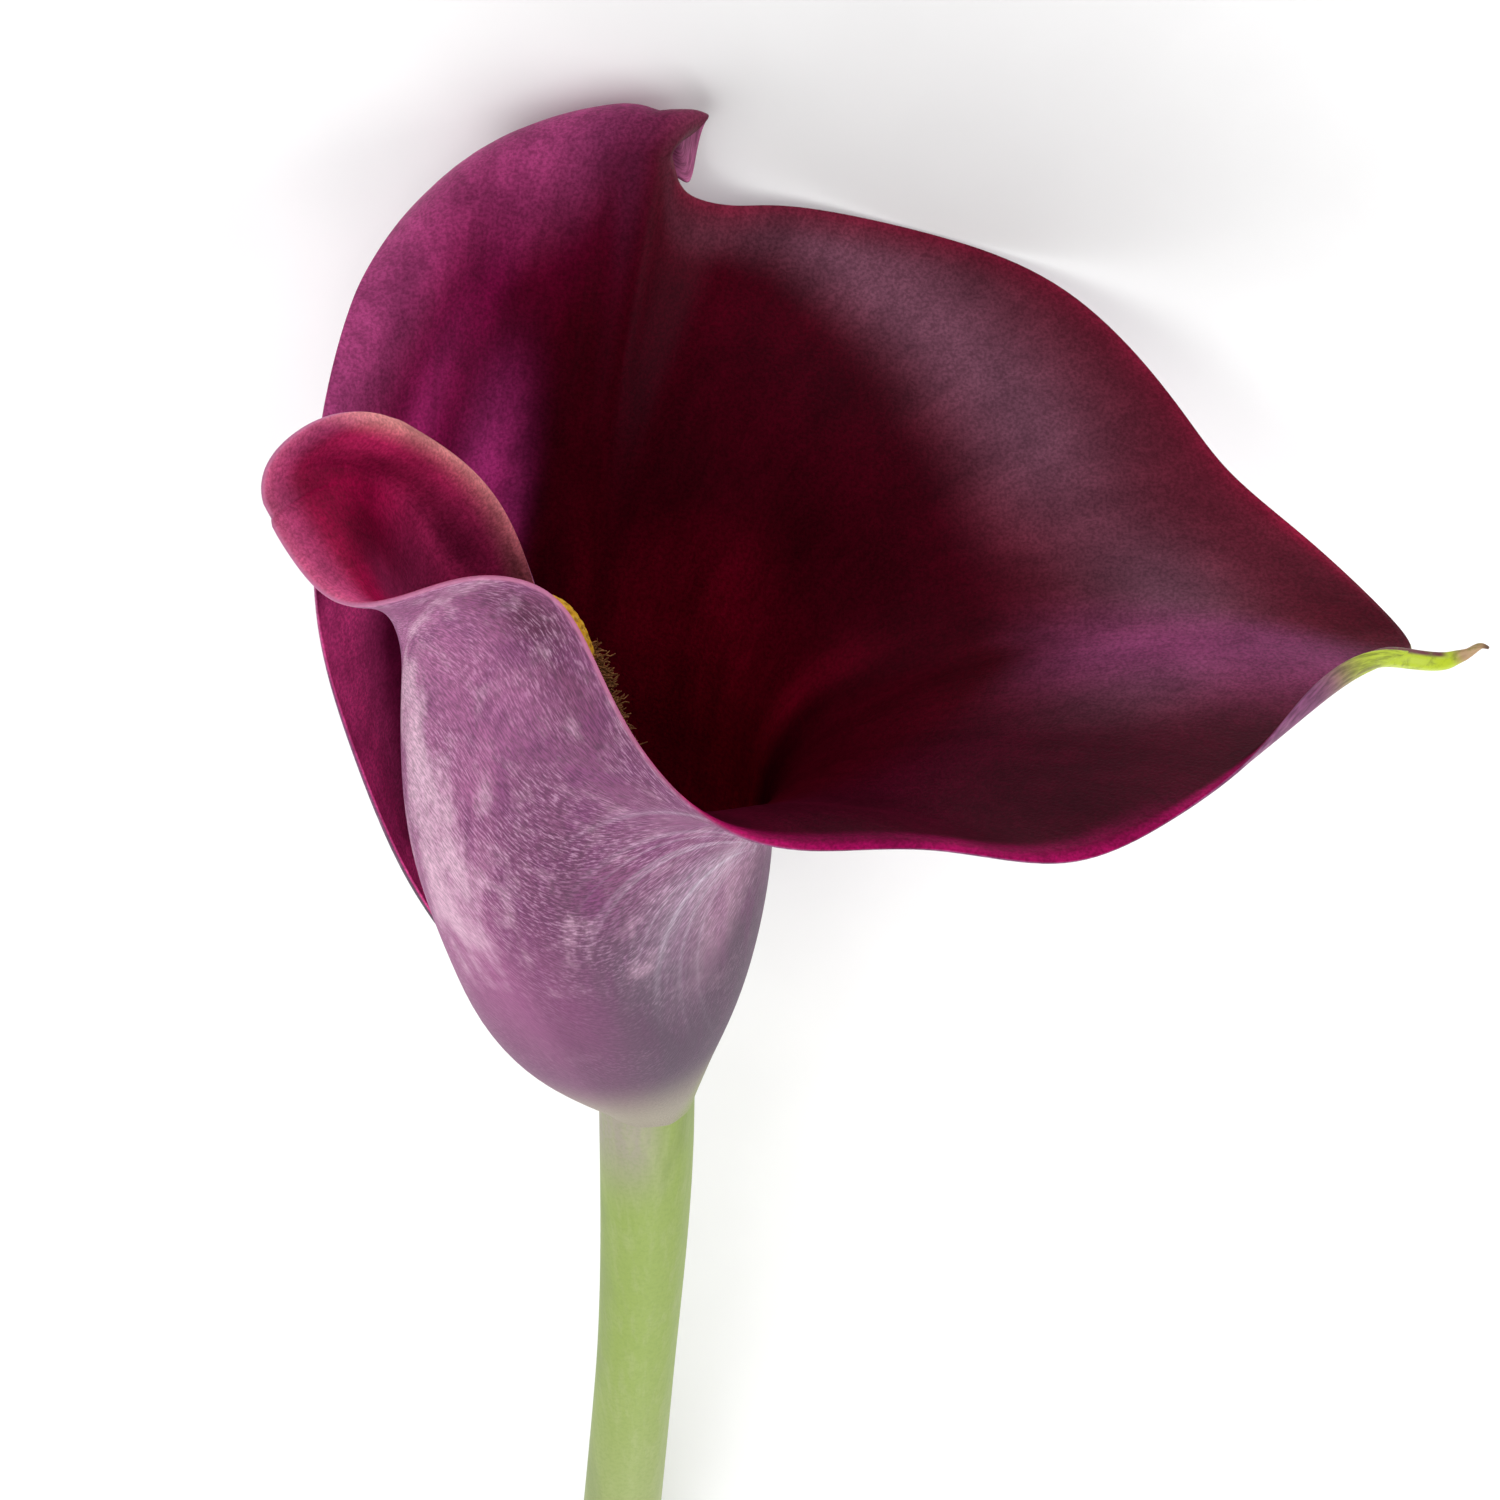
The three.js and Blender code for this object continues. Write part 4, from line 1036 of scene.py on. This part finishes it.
stem_way, stem_radius = stem_shape()
stem_points, stem_faces = tube_along(stem_way, stem_radius, stem_radius)
stem_points[:, 2] = np.maximum(stem_points[:, 2], 0)        # flat where it would pass the table
stem = blank("stem_stalk", stem_points / 1000, stem_faces)
store(stem, "skin", stem_colour())
store(stem, "cut", way_into_cut())
stem.data.materials.append(stem_material())
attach(stem, "root")
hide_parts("stem")


# ---- table ---------------------------------------------
# A plain pale table top, painted matt, wide enough for its edge to stay out of sight. It is made
# as one flat face, a hair under the flower.

TABLE_HALF_WIDTH = 6.0              # metres
TABLE_DROP = 0.00005
TABLE_CORNERS = np.array([[-1, -1], [1, -1], [1, 1], [-1, 1]]) * TABLE_HALF_WIDTH


def table_material():
    """Matt white paint, a little uneven."""
    material, tree = new_material("pale_table")
    uneven = ramp(tree, noise(tree, place_on_piece(tree), 60.0), 0.3, 0.7)
    paint = mixed(tree, uneven, (0.93, 0.93, 0.93, 1), (0.95, 0.95, 0.95, 1))
    finish_material(tree, Base_Color=paint, Roughness=0.9, Specular_IOR_Level=0.1)
    return material


table = blank("table_top", np.insert(TABLE_CORNERS, 2, -TABLE_DROP, axis=1), [(0, 1, 2, 3)])
table.data.materials.append(table_material())


# ---- light ---------------------------------------------
# Soft daylight of a studio: a dim pale sky and four large windows, the strongest high up on the
# left, the others past the stem, past the top of the picture and on the right.

FLOWER_MIDDLE = Vector((0, 0.055, 0.035))
SKY_STRENGTH = 0.15


def window(name, place, width, power):
    """A square soft light at a place, aimed at the middle of the flower."""
    lamp = bpy.data.lights.new(name, "AREA")
    lamp.shape = "SQUARE"
    lamp.size = width
    lamp.energy = power
    made = bpy.data.objects.new(name, lamp)
    made.location = place
    made.rotation_mode = "QUATERNION"
    made.rotation_quaternion = (FLOWER_MIDDLE - Vector(place)).to_track_quat("-Z", "Y")
    bpy.context.scene.collection.objects.link(made)


window("key_window", (-0.50, -0.24, 0.82), 1.3, 13.0)
window("front_window", (0.30, -0.95, 0.60), 1.1, 7.0)
window("top_window", (0.24, 1.0, 0.22), 0.8, 6.5)
window("right_window", (0.9, 0.05, 0.45), 0.6, 4.5)
world = bpy.data.worlds.new("pale_sky")
world.use_nodes = True
sky = world.node_tree.nodes["Background"]
sky.inputs["Color"].default_value = (1, 1, 1, 1)
sky.inputs["Strength"].default_value = SKY_STRENGTH
bpy.context.scene.world = world
bpy.context.scene.view_settings.view_transform = "Standard"


# ---- camera --------------------------------------------
# The viewer looks down on the flower, along the direction that its axis was tilted from, at the
# point that lies in the middle of the picture.

AIM_SIDE = 9.82
SENSOR_WIDTH = 36

camera_data = bpy.data.cameras.new("viewer")
camera = bpy.data.objects.new("viewer", camera_data)
bpy.context.scene.collection.objects.link(camera)
aim = laid(seen_at(PICTURE_SIZE / 2, PICTURE_SIZE / 2, AIM_SIDE))
look = VIEW_TILT - LYING_PITCH
back = np.array([0, np.sin(look), np.cos(look)])
camera.location = Vector(aim + back * VIEWER_DISTANCE / 1000)
camera.rotation_euler = (-look, 0, 0)
camera_data.sensor_width = SENSOR_WIDTH
camera_data.lens = SENSOR_WIDTH * VIEWER_DISTANCE / (PICTURE_SIZE * PICTURE_SCALE)
camera_data.clip_start = 0.05
camera_data.clip_end = 20
bpy.context.scene.camera = camera
